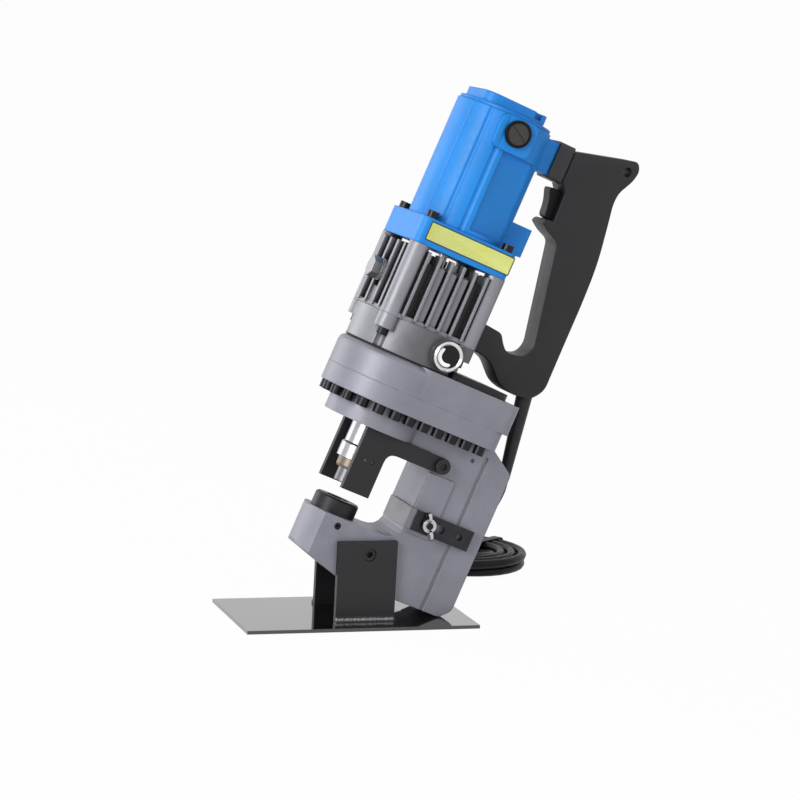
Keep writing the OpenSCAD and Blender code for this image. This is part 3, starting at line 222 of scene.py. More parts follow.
class Finish(Graph):
    """The node tree of a new material."""

    def __init__(self, name):
        self.material = bpy.data.materials.new(name)
        self.material.use_nodes = True
        super().__init__(self.material.node_tree)

    def vector_calc(self, operation, *values):
        """Math on vectors that comes to a number."""
        return self.node("ShaderNodeVectorMath", dict(enumerate(values)), operation=operation).out("Value")

    def place(self):
        """Object coordinates, in metres."""
        return self.node("ShaderNodeTexCoord").out("Object")

    def along(self, way):
        """Distance from the die's top along a direction, in metres."""
        return self.vector_calc("DOT_PRODUCT", self.place(), way) - DIE_TOP.dot(way)

    def stretched(self, scale):
        """Object coordinates scaled along each axis."""
        return self.node("ShaderNodeMapping", {"Vector": self.place(), "Scale": scale})

    def noise(self, scale, detail=3.0, rough=0.55, vector=None):
        return self.node("ShaderNodeTexNoise", {"Vector": vector or self.place(), "Scale": scale,
                                                "Detail": detail, "Roughness": rough})

    def pits(self, scale):
        return self.node("ShaderNodeTexVoronoi", {"Vector": self.place(), "Scale": scale, "Smoothness": 0.6},
                         feature="SMOOTH_F1")

    def bands(self, scale, distortion, detail):
        """Stripes one above the other."""
        return self.node("ShaderNodeTexWave", {"Vector": self.place(), "Scale": scale, "Distortion": distortion,
                                               "Detail": detail}, wave_type="BANDS", bands_direction="Z")

    def mix(self, factor, first, second):
        return self.node("ShaderNodeMix", {0: factor, 6: first, 7: second}, output=2,
                         data_type="RGBA", clamp_factor=True)

    def clouded(self, cloud, colour, dark, pale):
        """Colour that drifts with a noise from a darker to a paler shade."""
        return self.mix(self.spread(cloud, 0.3, 0.7), rgba(colour, dark), rgba(colour, pale))

    def eased(self, radius):
        """Normal with the piece's edges rounded to a radius."""
        return self.node("ShaderNodeBevel", {"Radius": radius}, samples=6)

    def edges(self, radius, low=0.03, high=0.3):
        """Mask of the edges, where paint thins and metal shows."""
        flat = self.node("ShaderNodeNewGeometry").out("Normal")
        return self.spread(1.0 - self.vector_calc("DOT_PRODUCT", self.eased(radius), flat), low, high)

    def rubbed(self, radius, scale, detail, low, high):
        """Mask of the edges, broken up by a noise."""
        return self.edges(radius) * self.spread(self.noise(scale, detail), low, high)

    def painted_recess_shade(self, distance, low=0.25, high=0.85, alone=True):
        """Mask of the recesses, from ambient occlusion, for darkening them as painted shade."""
        open_share = self.node("ShaderNodeAmbientOcclusion", {"Distance": distance}, samples=8,
                               only_local=alone).out("AO")
        return self.spread(open_share, low, high, 1.0, 0.0)

    def bump(self, height, strength, distance, radius):
        """Fine relief over edges rounded to a radius."""
        return self.node("ShaderNodeBump", {"Height": height, "Strength": strength, "Distance": distance,
                                            "Normal": self.eased(radius)})

    def done(self, sockets):
        """Surface from the principled shader's sockets."""
        shader = self.node("ShaderNodeBsdfPrincipled", sockets)
        self.node("ShaderNodeOutputMaterial", {"Surface": shader})
        return self.material


def rgba(colour, gain=1.0):
    return (*(min(1.0, part * gain) for part in colour), 1.0)


# Finishes


def painted_fin_gap_shade(f):
    """Mask of the floors between the pump's fins, painted near-black as painted shade."""
    back, side = (f.calc("ABSOLUTE", f.along(way)) for way in (REARWARD, ACROSS))
    inside = f.spread(f.calc("MAXIMUM", back, side), 0.0400, 0.0426, 1.0, 0.0)
    front = f.spread(f.along(REARWARD), -0.0452, -0.0422) * f.spread(side, 0.038, 0.041, 1.0, 0.0)
    return f.calc("MAXIMUM", inside, front) * f.spread(f.along(UPWARD), 0.1625, 0.1650)


def painted_skirt_shade(f):
    """Mask of the skirt's rear half, darkened as painted shade."""
    return f.spread(f.along(REARWARD) + f.noise(60.0, 4.0) * 0.02, -0.034, 0.004) * 0.6


def cast_paint(f, colour, grain=1.0, recess=0.006, recess_gain=0.35, rough=0.42, shut=0.25, clear=0.85,
               alone=True, stain=None):
    """Sprayed paint over a sand casting: grain, soft unevenness, thin pale edges, recesses darkened as painted
    shade, and painted shade wherever a mask is given.
    """
    cloud = f.noise(38.0, 4.0)
    fine = f.noise(900.0, 2.0)
    body = f.clouded(cloud, colour, 0.9, 1.1)
    # Recesses found by ambient occlusion are darkened nearly to black as painted shade.
    body = f.mix(f.painted_recess_shade(recess, shut, clear, alone) * (1.0 - recess_gain), body, rgba(colour, 0.06))
    # A given mask darkens the paint further, as painted shade.
    if stain:
        body = f.mix(stain(f) * 0.92, body, rgba(colour, 0.04))
    body = f.mix(f.rubbed(0.0011, 140.0, 3.0, 0.42, 0.66) * 0.5, body, rgba(colour, 1.9))
    height = fine * 0.6 + f.pits(420.0) * 0.4
    return {"Base Color": body, "Metallic": 0.3, "Specular IOR Level": 0.5,
            "Roughness": f.spread(cloud + fine * 0.5, 0.45, 1.0, rough - 0.06, rough + 0.12),
            "Normal": f.bump(height, 0.22 * grain, 0.0004, 0.0012)}


def enamel(f, colour, rough=0.47):
    """Enamel with a light orange peel and edges where the coat is thin."""
    peel = f.noise(420.0, 2.0, 0.4)
    thin = (colour[0] + 0.12, colour[1] + 0.15, colour[2] + 0.16)
    body = f.clouded(f.noise(26.0, 3.0), colour, 0.93, 1.07)
    # Recesses are darkened as painted shade.
    body = f.mix(f.painted_recess_shade(0.005) * 0.55, body, rgba(colour, 0.3))
    body = f.mix(f.rubbed(0.0013, 95.0, 3.0, 0.4, 0.7) * 0.4, body, rgba(thin))
    return {"Base Color": body, "Specular IOR Level": 0.5,
            "Roughness": f.spread(peel, 0.3, 0.7, rough - 0.04, rough + 0.05),
            "Normal": f.bump(peel, 0.05, 0.0003, 0.0022)}


def black_coat(f, colour, rough=0.42):
    """Black paint on steel plate, finely textured, a little scuffed at its edges."""
    cloud = f.noise(30.0, 4.0)
    body = f.clouded(cloud, colour, 0.85, 1.18)
    body = f.mix(f.rubbed(0.0009, 210.0, 4.0, 0.45, 0.65) * 0.45, body, rgba((0.16, 0.16, 0.17)))
    return {"Base Color": body, "Specular IOR Level": 0.42,
            "Roughness": f.spread(cloud, 0.3, 0.7, rough - 0.05, rough + 0.06),
            "Normal": f.bump(f.noise(1200.0, 2.0), 0.16, 0.0003, 0.0008)}


def gloss_black(f, colour):
    """Polished black paint of the base plate, with faint wipe marks in its gloss."""
    wipes = f.noise(22.0, 5.0, 0.6, f.stretched((1.0, 6.0, 1.0)))
    scuff = f.rubbed(0.0008, 260.0, 4.0, 0.45, 0.62)
    return {"Base Color": f.mix(scuff * 0.5, rgba(colour, 0.45), rgba((0.2, 0.2, 0.21))),
            "Roughness": f.spread(wipes, 0.35, 0.75, 0.03, 0.1),
            "Specular IOR Level": 0.85, "Coat Weight": 0.6, "Coat Roughness": 0.02,
            "Normal": f.bump(f.noise(60.0, 2.0), 0.015, 0.0005, 0.0006)}


def plated(f, colour, rough=0.16, streak=(1.0, 1.0, 14.0), lines=0.05):
    """Bright plated or ground steel with fine tool lines."""
    tool_lines = f.noise(700.0, 2.0, 0.5, f.stretched(streak))
    cloud = f.noise(55.0, 3.0)
    body = f.clouded(cloud, colour, 0.92, 1.05)
    # Recesses are darkened as painted shade.
    body = f.mix(f.painted_recess_shade(0.003) * 0.5, body, rgba(colour, 0.3))
    return {"Base Color": body, "Metallic": 1.0,
            "Roughness": f.spread(tool_lines + cloud * 0.4, 0.4, 1.0, rough - 0.03, rough + 0.1),
            "Normal": f.bump(tool_lines, lines, 0.0002, 0.0005)}


def blacked(f, cloud, colour, worn=None, bare=None):
    """Colour and normal of blacked steel with bright rubbed edges, and bare metal where it is worn."""
    body = f.clouded(cloud, colour, 0.8, 1.25)
    if worn:
        body = f.mix(worn, body, rgba(bare))
    body = f.mix(f.rubbed(0.0007, 320.0, 3.0, 0.4, 0.65) * 0.5, body, rgba((0.3, 0.3, 0.31)))
    return {"Base Color": body, "Normal": f.bump(f.noise(1400.0, 2.0), 0.08, 0.0002, 0.0006)}


def oxide(f, colour, rough=0.36):
    """Oil-blacked steel, dark and satin."""
    cloud = f.noise(120.0, 4.0)
    return {**blacked(f, cloud, colour), "Metallic": 0.75,
            "Roughness": f.spread(cloud, 0.3, 0.7, rough - 0.06, rough + 0.08)}


def gauge_finish(f, colour, bare):
    """Blacked steel bar whose bent end is rubbed down to bare grey."""
    cloud = f.noise(120.0, 4.0)
    worn = f.spread(f.along(REARWARD) + cloud * 0.003, 0.0572, 0.0592, 1.0, 0.0)
    return {**blacked(f, cloud, colour, worn, bare), "Metallic": f.spread(worn, 0.0, 1.0, 0.75, 0.4),
            "Roughness": f.spread(cloud + worn * 0.3, 0.3, 1.0, 0.34, 0.5)}


def moulded(f, colour, rough=0.46, grain=1.0, sheen=0.42):
    """Moulded plastic with a spark-eroded grain and a faint sheen on handled edges."""
    cloud = f.noise(24.0, 3.0)
    rub = f.edges(0.0018)
    body = f.clouded(cloud, colour, 0.9, 1.12)
    body = f.mix(rub * 0.3, body, rgba(colour, 1.9))
    return {"Base Color": body, "Specular IOR Level": sheen,
            "Roughness": f.spread(cloud + rub * 0.3, 0.35, 0.9, rough + 0.05, rough - 0.06),
            "Normal": f.bump(f.pits(1500.0), 0.14 * grain, 0.0003, 0.0015)}


def cap_plastic(f, colour):
    """Phenolic brush cap, polished about its axis across the machine and dull round the rim."""
    low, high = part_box("brush_caps")
    axis, reach = (low + high) / 2, (high.x - low.x) / 2
    swirl = f.noise(260.0, 3.0)
    away = f.node("ShaderNodeVectorMath", {0: f.place(), 1: (1.0, 0.0, 1.0), 2: (-axis.x, 0.0, -axis.z)},
                  operation="MULTIPLY_ADD")
    rim = f.spread(f.vector_calc("LENGTH", away) * (1.0 / reach), 0.74, 0.82)
    body = f.mix(f.spread(swirl, 0.35, 0.7), rgba(colour, 1.6), rgba(colour, 2.6))
    body = f.mix(rim, body, rgba(colour, 0.5))
    body = f.mix(f.edges(0.0012) * 0.3, body, rgba((0.09, 0.08, 0.08)))
    return {"Base Color": body, "Roughness": f.spread(swirl, 0.3, 0.7, 0.2, 0.3),
            "Specular IOR Level": 0.14, "Coat Weight": f.spread(rim, 0.0, 1.0, 1.0, 0.0),
            "Coat Roughness": 0.12, "Normal": f.eased(0.0016)}


def soft_rubber(f, colour, rough=0.55, sheen=0.32):
    """Rubber with a dull skin and fine dust."""
    dust = f.noise(160.0, 5.0, 0.65)
    body = f.mix(f.spread(dust, 0.45, 0.8), rgba(colour), rgba(colour, 1.9))
    return {"Base Color": body, "Specular IOR Level": sheen,
            "Roughness": f.spread(dust, 0.3, 0.8, rough - 0.12, rough + 0.12),
            "Normal": f.bump(f.noise(1100.0, 2.0), 0.1, 0.0002, 0.0006)}


def winding(f, colour):
    """Varnished copper wire laid side by side."""
    strands = f.bands(420.0, 1.2, 1.0)
    return {"Base Color": f.mix(strands, rgba(colour, 0.55), rgba(colour, 1.15)), "Metallic": 0.85,
            "Roughness": f.spread(strands, 0.0, 1.0, 0.42, 0.26),
            "Normal": f.bump(strands, 0.35, 0.0004, 0.0006)}


def laminations(f, colour):
    """Stacked steel sheets seen edge-on."""
    sheets = f.bands(330.0, 0.2, 2.0)
    return {"Base Color": f.mix(sheets, rgba(colour, 0.5), rgba(colour)), "Metallic": 0.9,
            "Roughness": f.spread(sheets, 0.0, 1.0, 0.5, 0.34),
            "Normal": f.bump(sheets, 0.25, 0.0003, 0.0005)}


def dark_glass(f, colour):
    """Oil behind a sight glass: near-black, wet and clear at its face."""
    oil = f.spread(f.noise(90.0, 2.0), 0.35, 0.7)
    return {"Base Color": f.mix(oil, rgba(colour, 0.6), rgba(colour, 1.6)),
            "Roughness": f.spread(oil, 0.0, 1.0, 0.03, 0.07), "Specular IOR Level": 0.12,
            "Coat Weight": 0.25, "Coat Roughness": 0.02, "Normal": f.eased(0.0004)}


def plate_enamel(f, colour, edge):
    """Enamel of a bare plate: even yellow with a faint roller streak and a dark border."""
    streaks = f.noise(120.0, 3.0, 0.5, f.stretched((1.0, 1.0, 9.0)))
    fade = f.spread(f.noise(60.0, 3.0), 0.35, 0.7)
    faded = (colour[0] * 1.05, colour[1] * 1.08, colour[2] * 2.6)
    body = f.clouded(streaks, colour, 0.94, 1.04)
    body = f.mix(fade * 0.35, body, rgba(faded))
    body = f.mix(f.node("ShaderNodeAttribute", attribute_name="border").out("Fac"), body, rgba(edge))
    return {"Base Color": body, "Roughness": f.spread(streaks, 0.3, 0.7, 0.33, 0.42), "Coat Weight": 0.25,
            "Normal": f.bump(streaks, 0.03, 0.0002, 0.0003)}


def looks():
    """Each finish by name: the function that gives its shader's sockets, its colour and its other values."""
    p = paint()
    even = (1.0, 1.0, 1.0)
    return {
        "frame paint": (cast_paint, p.casting, {}),
        # The fin and skirt castings take painted shade in their recesses, between the fins and on the skirt's
        # rear half.
        "fin casting": (cast_paint, p.pump, dict(grain=1.3, recess=0.011, recess_gain=0.0, rough=0.38, shut=0.42,
                                                 clear=0.92, stain=painted_fin_gap_shade)),
        "skirt casting": (cast_paint, p.pump, dict(grain=1.2, recess=0.022, recess_gain=0.4, rough=0.36, shut=0.2,
                                                   clear=0.9, alone=False, stain=painted_skirt_shade)),
        "blue enamel": (enamel, p.motor, {}),
        "plate enamel": (plate_enamel, p.plate, dict(edge=(0.02, 0.03, 0.05))),
        "gloss black plate": (gloss_black, p.stand, {}),
        "satin black paint": (black_coat, p.stand, {}),
        "stripper paint": (black_coat, p.stand, dict(rough=0.5)),
        "blacked bolts": (oxide, (0.03, 0.03, 0.033), {}),
        "oiled screws": (oxide, (0.018, 0.018, 0.02), dict(rough=0.3)),
        "die steel": (oxide, (0.026, 0.026, 0.03), dict(rough=0.4)),
        "gauge steel": (gauge_finish, (0.030, 0.030, 0.036), dict(bare=(0.21, 0.21, 0.23))),
        "hard chrome": (plated, (0.40, 0.40, 0.425), dict(rough=0.24)),
        "bright chrome": (plated, (0.52, 0.52, 0.55), dict(rough=0.2, streak=even, lines=0.02)),
        "bright ring": (plated, (0.72, 0.72, 0.73), dict(rough=0.2, streak=even, lines=0.03)),
        # Bright plated strip that serves as the sight glass's painted reflection.
        "bright strip": (plated, (0.9, 0.9, 0.9), dict(rough=0.22)),
        "zinc plug": (plated, (0.29, 0.29, 0.30), dict(rough=0.36, streak=even, lines=0.03)),
        "zinc washer": (plated, (0.34, 0.34, 0.36), dict(rough=0.36, streak=even, lines=0.03)),
        "weld bead": (plated, (0.17, 0.17, 0.18), dict(rough=0.42, streak=even, lines=0.3)),
        "bronze nut": (plated, (0.19, 0.15, 0.125), dict(rough=0.36)),
        "punch steel": (plated, (0.17, 0.17, 0.18), dict(rough=0.34)),
        "spring steel": (plated, (0.45, 0.45, 0.47), dict(rough=0.25)),
        "ground steel": (plated, (0.5, 0.5, 0.52), dict(rough=0.24)),
        "brass": (plated, (0.6, 0.44, 0.2), dict(rough=0.26)),
        "plated pins": (plated, (0.66, 0.62, 0.52), dict(rough=0.2)),
        "sheet stack": (laminations, (0.42, 0.42, 0.44), {}),
        "varnished wire": (winding, (0.5, 0.2, 0.08), {}),
        "copper bars": (winding, (0.6, 0.27, 0.12), {}),
        "dark oil glass": (dark_glass, (0.006, 0.006, 0.007), {}),
        "brush cap plastic": (cap_plastic, (0.010, 0.007, 0.006), {}),
        "handle plastic": (moulded, p.plastic, {}),
        "collar plastic": (moulded, (0.024, 0.024, 0.027), dict(rough=0.42)),
        "trigger plastic": (moulded, (0.006, 0.006, 0.007), dict(rough=0.4, grain=0.4, sheen=0.16)),
        "fan plastic": (moulded, (0.02, 0.02, 0.021), dict(rough=0.5)),
        "plug plastic": (moulded, (0.014, 0.014, 0.015), dict(rough=0.4)),
        "strap plastic": (moulded, (0.012, 0.012, 0.012), dict(rough=0.5)),
        "cord sheath": (soft_rubber, (0.005, 0.005, 0.006), dict(rough=0.42, sheen=0.16)),
        "boot rubber": (soft_rubber, (0.02, 0.02, 0.022), dict(rough=0.5)),
        "gasket": (soft_rubber, (0.01, 0.01, 0.01), dict(rough=0.7)),
        "seal rubber": (soft_rubber, (0.016, 0.016, 0.017), {}),
        "pressed carbon": (soft_rubber, (0.02, 0.02, 0.021), dict(rough=0.6)),
    }


FINISHES = {}


def finish(name):
    """Material of that name from the looks, made once."""
    if name not in FINISHES:
        maker, colour, values = looks()[name]
        f = Finish(name)
        FINISHES[name] = f.done(maker(f, colour, **values))
    return FINISHES[name]


# Meshes and pieces

SHARP = math.radians(35.0)
CREASE = math.radians(32.0)
FLAT = math.radians(0.4)
MERGE = 2e-6


def coat(data, material):
    data.materials.clear()
    data.materials.append(material)


def dress(nodes, look):
    """Gives a finish to some of the machine's own pieces, named with a space between."""
    for node in nodes.split():
        coat(NODES[node].data, finish(look))


def linked(name, data):
    """New object at the origin."""
    obj = bpy.data.objects.new(name, data)
    bpy.context.scene.collection.objects.link(obj)
    return obj


def fitted(name, data, look, body=BODY):
    """New piece with its finish, riding on a body."""
    coat(data, finish(look))
    obj = linked(name, data)
    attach(obj, body)
    return obj


def mesh_from(name, shape):
    mesh = bpy.data.meshes.new(name)
    shape.to_mesh(mesh)
    shape.free()
    return mesh


def mesh_piece(name, shape, look, body=BODY):
    """Piece from a bmesh in the machine's frame."""
    mesh = mesh_from(name, shape)
    mesh.shade_smooth()
    mesh.set_sharp_from_angle(angle=SHARP)
    return fitted(name, mesh, look, body)


def ring_faces(shape, rings, closed=False):
    """Skins rings of points one after the other, with caps at the ends unless the rings close on themselves."""
    made = [[shape.verts.new(p) for p in ring] for ring in rings]
    count = len(made[0])
    pairs = list(zip(made, made[1:])) + ([(made[-1], made[0])] if closed else [])
    for first, second in pairs:
        for i in range(count):
            j = (i + 1) % count
            shape.faces.new((first[i], first[j], second[j], second[i]))
    if not closed:
        shape.faces.new(list(reversed(made[0])))
        shape.faces.new(made[-1])
    bmesh.ops.recalc_face_normals(shape, faces=shape.faces)


def circle(centre, side, other, radius, count):
    """Points of a circle in the plane of two directions."""
    return [centre + radius * (side * math.cos(a) + other * math.sin(a))
            for a in (2.0 * math.pi * k / count for k in range(count))]


def rounded(half_wide, half_high, corner, steps):
    """Points round a rectangle with rounded corners, as pairs."""
    points = []
    for sx, sz, first in ((1, 1, 0), (-1, 1, 90), (-1, -1, 180), (1, -1, 270)):
        for k in range(steps + 1):
            a = math.radians(first + 90.0 * k / steps)
            points.append((sx * (half_wide - corner) + corner * math.cos(a),
                           sz * (half_high - corner) + corner * math.sin(a)))
    return points


def turned(shape, profile, centre, axis, side, count=48):
    """Skin of a profile of (distance along the axis, radius), in millimetres, turned about it."""
    other = axis.cross(side)
    ring_faces(shape, [circle(centre + axis * (a * MM), side, other, r * MM, count) for a, r in profile])


def wound(shape, start, axis, side, radius, wire, length, turns, steps=48, sides=10):
    """Skin of a wire wound about an axis, with its sizes in millimetres."""
    other = axis.cross(side)
    rise = axis * (length / (2.0 * math.pi * turns))
    rings = []
    for i in range(turns * steps + 1):
        angle = 2.0 * math.pi * i / steps
        outward = side * math.cos(angle) + other * math.sin(angle)
        onward = (other * math.cos(angle) - side * math.sin(angle)) * radius + rise
        middle = start + MM * (outward * radius + rise * angle)
        rings.append(circle(middle, outward, outward.cross(onward.normalized()), wire * MM, sides))
    ring_faces(shape, rings)


def smooth_line(points, steps):
    """Curve through points, with a number of steps between each pair."""
    line = []
    padded = [2 * points[0] - points[1]] + points + [2 * points[-1] - points[-2]]
    for a, b, c, d in zip(padded, padded[1:], padded[2:], padded[3:]):
        for k in range(steps):
            t = k / steps
            line.append(0.5 * (2 * b + (c - a) * t + (2 * a - 5 * b + 4 * c - d) * t * t
                               + (3 * b - a - 3 * c + d) * t ** 3))
    line.append(points[-1])
    return line


def eased_copy(node, width, segments, seam, small):
    """Copy of a CAD piece with its outline edges rounded, apart from the seam and the edges of small holes."""
    shape = bmesh.new()
    shape.from_mesh(NODES[node].data)
    bmesh.ops.remove_doubles(shape, verts=shape.verts, dist=MERGE)
    bmesh.ops.dissolve_limit(shape, angle_limit=FLAT, verts=shape.verts, edges=shape.edges)
    left = {e for e in shape.edges if len(e.link_faces) == 2 and e.calc_face_angle(0.0) > CREASE
            and all(abs(v.co.y) > seam for v in e.verts)}
    chosen = []
    while left:
        chain, front = [], [left.pop()]
        while front:
            edge = front.pop()
            chain.append(edge)
            for vert in edge.verts:
                for other in vert.link_edges:
                    if other in left:
                        left.discard(other)
                        front.append(other)
        points = [v.co for e in chain for v in e.verts]
        reach = max((max(p[i] for p in points) - min(p[i] for p in points)) for i in range(3))
        if reach > small:
            chosen += chain
    bmesh.ops.bevel(shape, geom=chosen, offset=width, offset_type="OFFSET", segments=segments, profile=0.5,
                    affect="EDGES", clamp_overlap=True)
    return shape


# Geometry Nodes


class RowPlan(Graph):
    """Geometry Nodes tree that repeats a form along a row, with named inputs."""

    row = {"Start": "Vector", "Step": "Vector", "Count": "Int", "Turn": "Vector", "Material": "Material"}

    def __init__(self, name, inputs):
        super().__init__(bpy.data.node_groups.new(name, "GeometryNodeTree"))
        self.tree.interface.new_socket("Geometry", in_out="OUTPUT", socket_type="NodeSocketGeometry")
        for label, kind in {**self.row, **inputs}.items():
            self.tree.interface.new_socket(label, in_out="INPUT", socket_type="NodeSocket" + kind)
        self.given = self.tree.nodes.new("NodeGroupInput")

    def __getitem__(self, label):
        """Wire of an input."""
        return Wire(self, self.given.outputs[label])

    def repeated(self, form, sockets):
        """The form at each point of the row."""
        line = self.node("GeometryNodeMeshLine", {"Count": self["Count"], "Start Location": self["Start"],
                                                  "Offset": self["Step"]}, mode="OFFSET")
        placed = self.node("GeometryNodeInstanceOnPoints", {"Points": line, "Instance": form, **sockets})
        return self.node("GeometryNodeRealizeInstances", {0: placed})

    def end(self, geometry):
        """The geometry, smooth and with the piece's material, as the tree's result."""
        shown = self.node("GeometryNodeSetMaterial", {"Geometry": geometry, "Material": self["Material"]})
        self.node("NodeGroupOutput", {0: self.node("GeometryNodeSetShadeSmooth", {0: shown})})
        return self.tree


def ripple_plan():
    """Row of overlapping rounded scales, as a weld bead shows."""
    plan = RowPlan("Weld ripples", {"Radius": "Float", "Shape": "Vector", "Seed": "Int"})
    smallest, largest = 0.86, 1.12
    scale = plan.node("GeometryNodeMeshUVSphere", {"Segments": 14, "Rings": 8, "Radius": plan["Radius"]})
    shaped = plan.node("GeometryNodeTransform", {"Geometry": scale, "Scale": plan["Shape"],
                                                 "Rotation": plan["Turn"]})
    size = plan.node("FunctionNodeRandomValue", {2: smallest, 3: largest, "Seed": plan["Seed"]}, output=1,
                     data_type="FLOAT")
    return plan.end(plan.repeated(shaped, {"Scale": size}))


def rib_plan():
    """Row of round ribs along an axis, from a first radius to a last one."""
    plan = RowPlan("Round ribs", {"First radius": "Float", "Last radius": "Float", "Thickness": "Float"})
    hoop = plan.node("GeometryNodeCurvePrimitiveCircle", {"Resolution": 40, "Radius": 1.0})
    radius = plan.spread(plan.node("GeometryNodeInputIndex"), 0.0, plan["Count"], plan["First radius"],
                         plan["Last radius"])
    hoops = plan.repeated(hoop, {"Scale": radius, "Rotation": plan["Turn"]})
    wire = plan.node("GeometryNodeCurvePrimitiveCircle", {"Resolution": 10, "Radius": plan["Thickness"]})
    return plan.end(plan.node("GeometryNodeCurveToMesh", {"Curve": hoops, "Profile Curve": wire}))


def grown(name, tree, values, look):
    """Plain mesh piece grown by a tree from values given by input name."""
    maker = linked(name + "_maker", bpy.data.meshes.new(name + "_maker"))
    modifier = maker.modifiers.new("Grow", "NODES")
    modifier.node_group = tree
    given = {**values, "Material": finish(look)}
    for item in tree.interface.items_tree:
        if item.item_type == "SOCKET" and item.in_out == "INPUT":
            modifier[item.identifier] = given[item.name]
    bpy.context.view_layer.update()
    ready = maker.evaluated_get(bpy.context.evaluated_depsgraph_get())
    mesh = bpy.data.meshes.new_from_object(ready)
    if not mesh.vertices:
        raise RuntimeError(name + " grew no mesh")
    maker.modifiers.remove(modifier)
    bpy.data.objects.remove(maker)
    mesh.name = name
    return fitted(name, mesh, look)


# Operators


class PieceMaker:
    """Shared form of the operators: each makes its pieces or raises an error."""

    bl_options = {"REGISTER", "UNDO"}

    def execute(self, context):
        self.make()
        return {"FINISHED"}


SENSOR_MM = 36.0
FLOOR_REACH, FLOOR_DROP, FLOOR_WHITE = 60.0, 0.0004, 0.97
LAMP_AIM = Vector((0.06, 0.0, 0.24))


class PUNCH_OT_stage(PieceMaker, bpy.types.Operator):
    """Sets up the camera, the pale floor, the soft lamps and the white surround"""

    bl_idname = "punch.stage"
    bl_label = "Studio"

    def make(self):
        scene = bpy.context.scene
        settings = stage_settings()
        scene.view_settings.view_transform = "Standard"
        scene.camera = self.camera(settings)
        self.floor()
        self.lamps(settings)
        scene.world = self.surround(settings)

    def camera(self, s):
        data = bpy.data.cameras.new("Camera")
        data.lens, data.sensor_width, data.sensor_fit = s.lens, SENSOR_MM, "HORIZONTAL"
        data.clip_end = 200.0
        camera = linked("Camera", data)
        level = Matrix.Rotation(s.azimuth, 4, "Z") @ Matrix.Rotation(math.pi / 2 - s.elevation, 4, "X")
        rolled = Matrix.Rotation(s.roll, 4, "Z") @ Matrix.Translation((0.0, 0.0, s.distance))
        camera.matrix_world = Matrix.Translation(s.target) @ level @ rolled
        return camera

    def floor(self):
        f = Finish("studio floor")
        pale = f.node("ShaderNodeBsdfDiffuse", {"Color": (0.86, 0.86, 0.86, 1.0)})
        white = f.node("ShaderNodeEmission", {"Color": WHITE, "Strength": 1.0})
        f.node("ShaderNodeOutputMaterial", {0: f.mix_shader(f.seen() * FLOOR_WHITE, pale, white)})
        shape = bmesh.new()
        bmesh.ops.create_grid(shape, x_segments=1, y_segments=1, size=FLOOR_REACH)
        floor = linked("studio_floor", mesh_from("studio_floor", shape))
        coat(floor.data, f.material)
        floor.location.z = -FLOOR_DROP

    def lamps(self, s):
        for name, place, power, size in (("key_lamp", (-1.45, -1.0, 1.05), s.key, 1.1),
                                         ("fill_lamp", (1.25, -1.35, 0.75), s.fill, 1.2),
                                         ("rim_lamp", (-1.1, 1.35, 0.65), s.rim, 1.2)):
            data = bpy.data.lights.new(name, "AREA")
            data.shape, data.size, data.energy = "DISK", size, power
            turn = (LAMP_AIM - Vector(place)).to_track_quat("-Z", "Y").to_matrix().to_4x4()
            linked(name, data).matrix_world = Matrix.Translation(place) @ turn

    def surround(self, s):
        world = bpy.data.worlds.new("studio surround")
        world.use_nodes = True
        g = Graph(world.node_tree)
        sky = g.node("ShaderNodeBackground", {"Color": WHITE, "Strength": s.sky})
        white = g.node("ShaderNodeBackground", {"Color": WHITE, "Strength": 1.0})
        g.node("ShaderNodeOutputWorld", {0: g.mix_shader(g.seen(), sky, white)})
        return world


# The cord's way from the boot through the coil to the plug, in millimetres
BOOT_TOP = leaned(116.6, 0.0, 156.54) / MM
BOOT_END = BOOT_TOP - Vector((17.0, 0.0, 87.0))
COIL_CENTRE = Vector((168.0, 184.0, 5.0))
COIL_INNER, COIL_PITCH, LAYER_PITCH = 30.0, 10.0, 8.5
CLIMB_TURNS, TURN_STEPS = 0.5, 32
COIL_LEAD = Vector((160.0, 124.0, 13.5))
COIL_TAIL = Vector((160.0, 244.0, 5.0))
ROUTE_SHARES = [(0, 0, 1), (-0.01454, 0, 0.916), (-0.046, 0.03, 0.81), (-0.092, 0.1, 0.69),
                (-0.153, 0.19, 0.58), (-0.22, 0.32, 0.455), (-0.28, 0.47, 0.33), (-0.325, 0.61, 0.225),
                (-0.35, 0.75, 0.14), (-0.335, 0.855, 0.07), (-0.275, 0.93, 0.033), (-0.18, 0.98, 0.012),
                (-0.085, 1, 0), (0, 1, 0)]
ROUTE = [Vector((BOOT_END.x + y * (COIL_LEAD.x - BOOT_END.x) + x * BOOT_END.z, y * COIL_LEAD.y,
                 COIL_LEAD.z + z * (BOOT_END.z - COIL_LEAD.z))) for x, y, z in ROUTE_SHARES]
TAIL_STEP, TAIL_RISE = 8.0, 9.0
TAIL_SHARES = [(0, 0), (-1, 0.11), (-2, 0.39), (-3, 0.72), (-4, 0.94), (-5, 1), (-6, 1)]
TAIL = [COIL_TAIL + Vector((x * TAIL_STEP, 0.0, z * TAIL_RISE)) for x, z in TAIL_SHARES]


def coil_point(turn):
    """Point of the coil after a number of turns from its top, in millimetres."""
    t = trim()
    period = t.layer_turns + CLIMB_TURNS
    layer = min(int(turn // period), t.coil_layers - 1)
    local = turn - layer * period
    spread = min(local, t.layer_turns) * COIL_PITCH
    drop = max(0.0, (local - t.layer_turns) / CLIMB_TURNS)
    drop = drop * drop * (3 - 2 * drop)
    outer = COIL_INNER + t.layer_turns * COIL_PITCH
    radius = outer - spread if layer % 2 == 0 else COIL_INNER + spread
    angle = math.radians(270.0 + 360.0 * turn)
    return COIL_CENTRE + Vector((radius * math.cos(angle), radius * math.sin(angle),
                                 (t.coil_layers - 1 - layer - drop) * LAYER_PITCH))


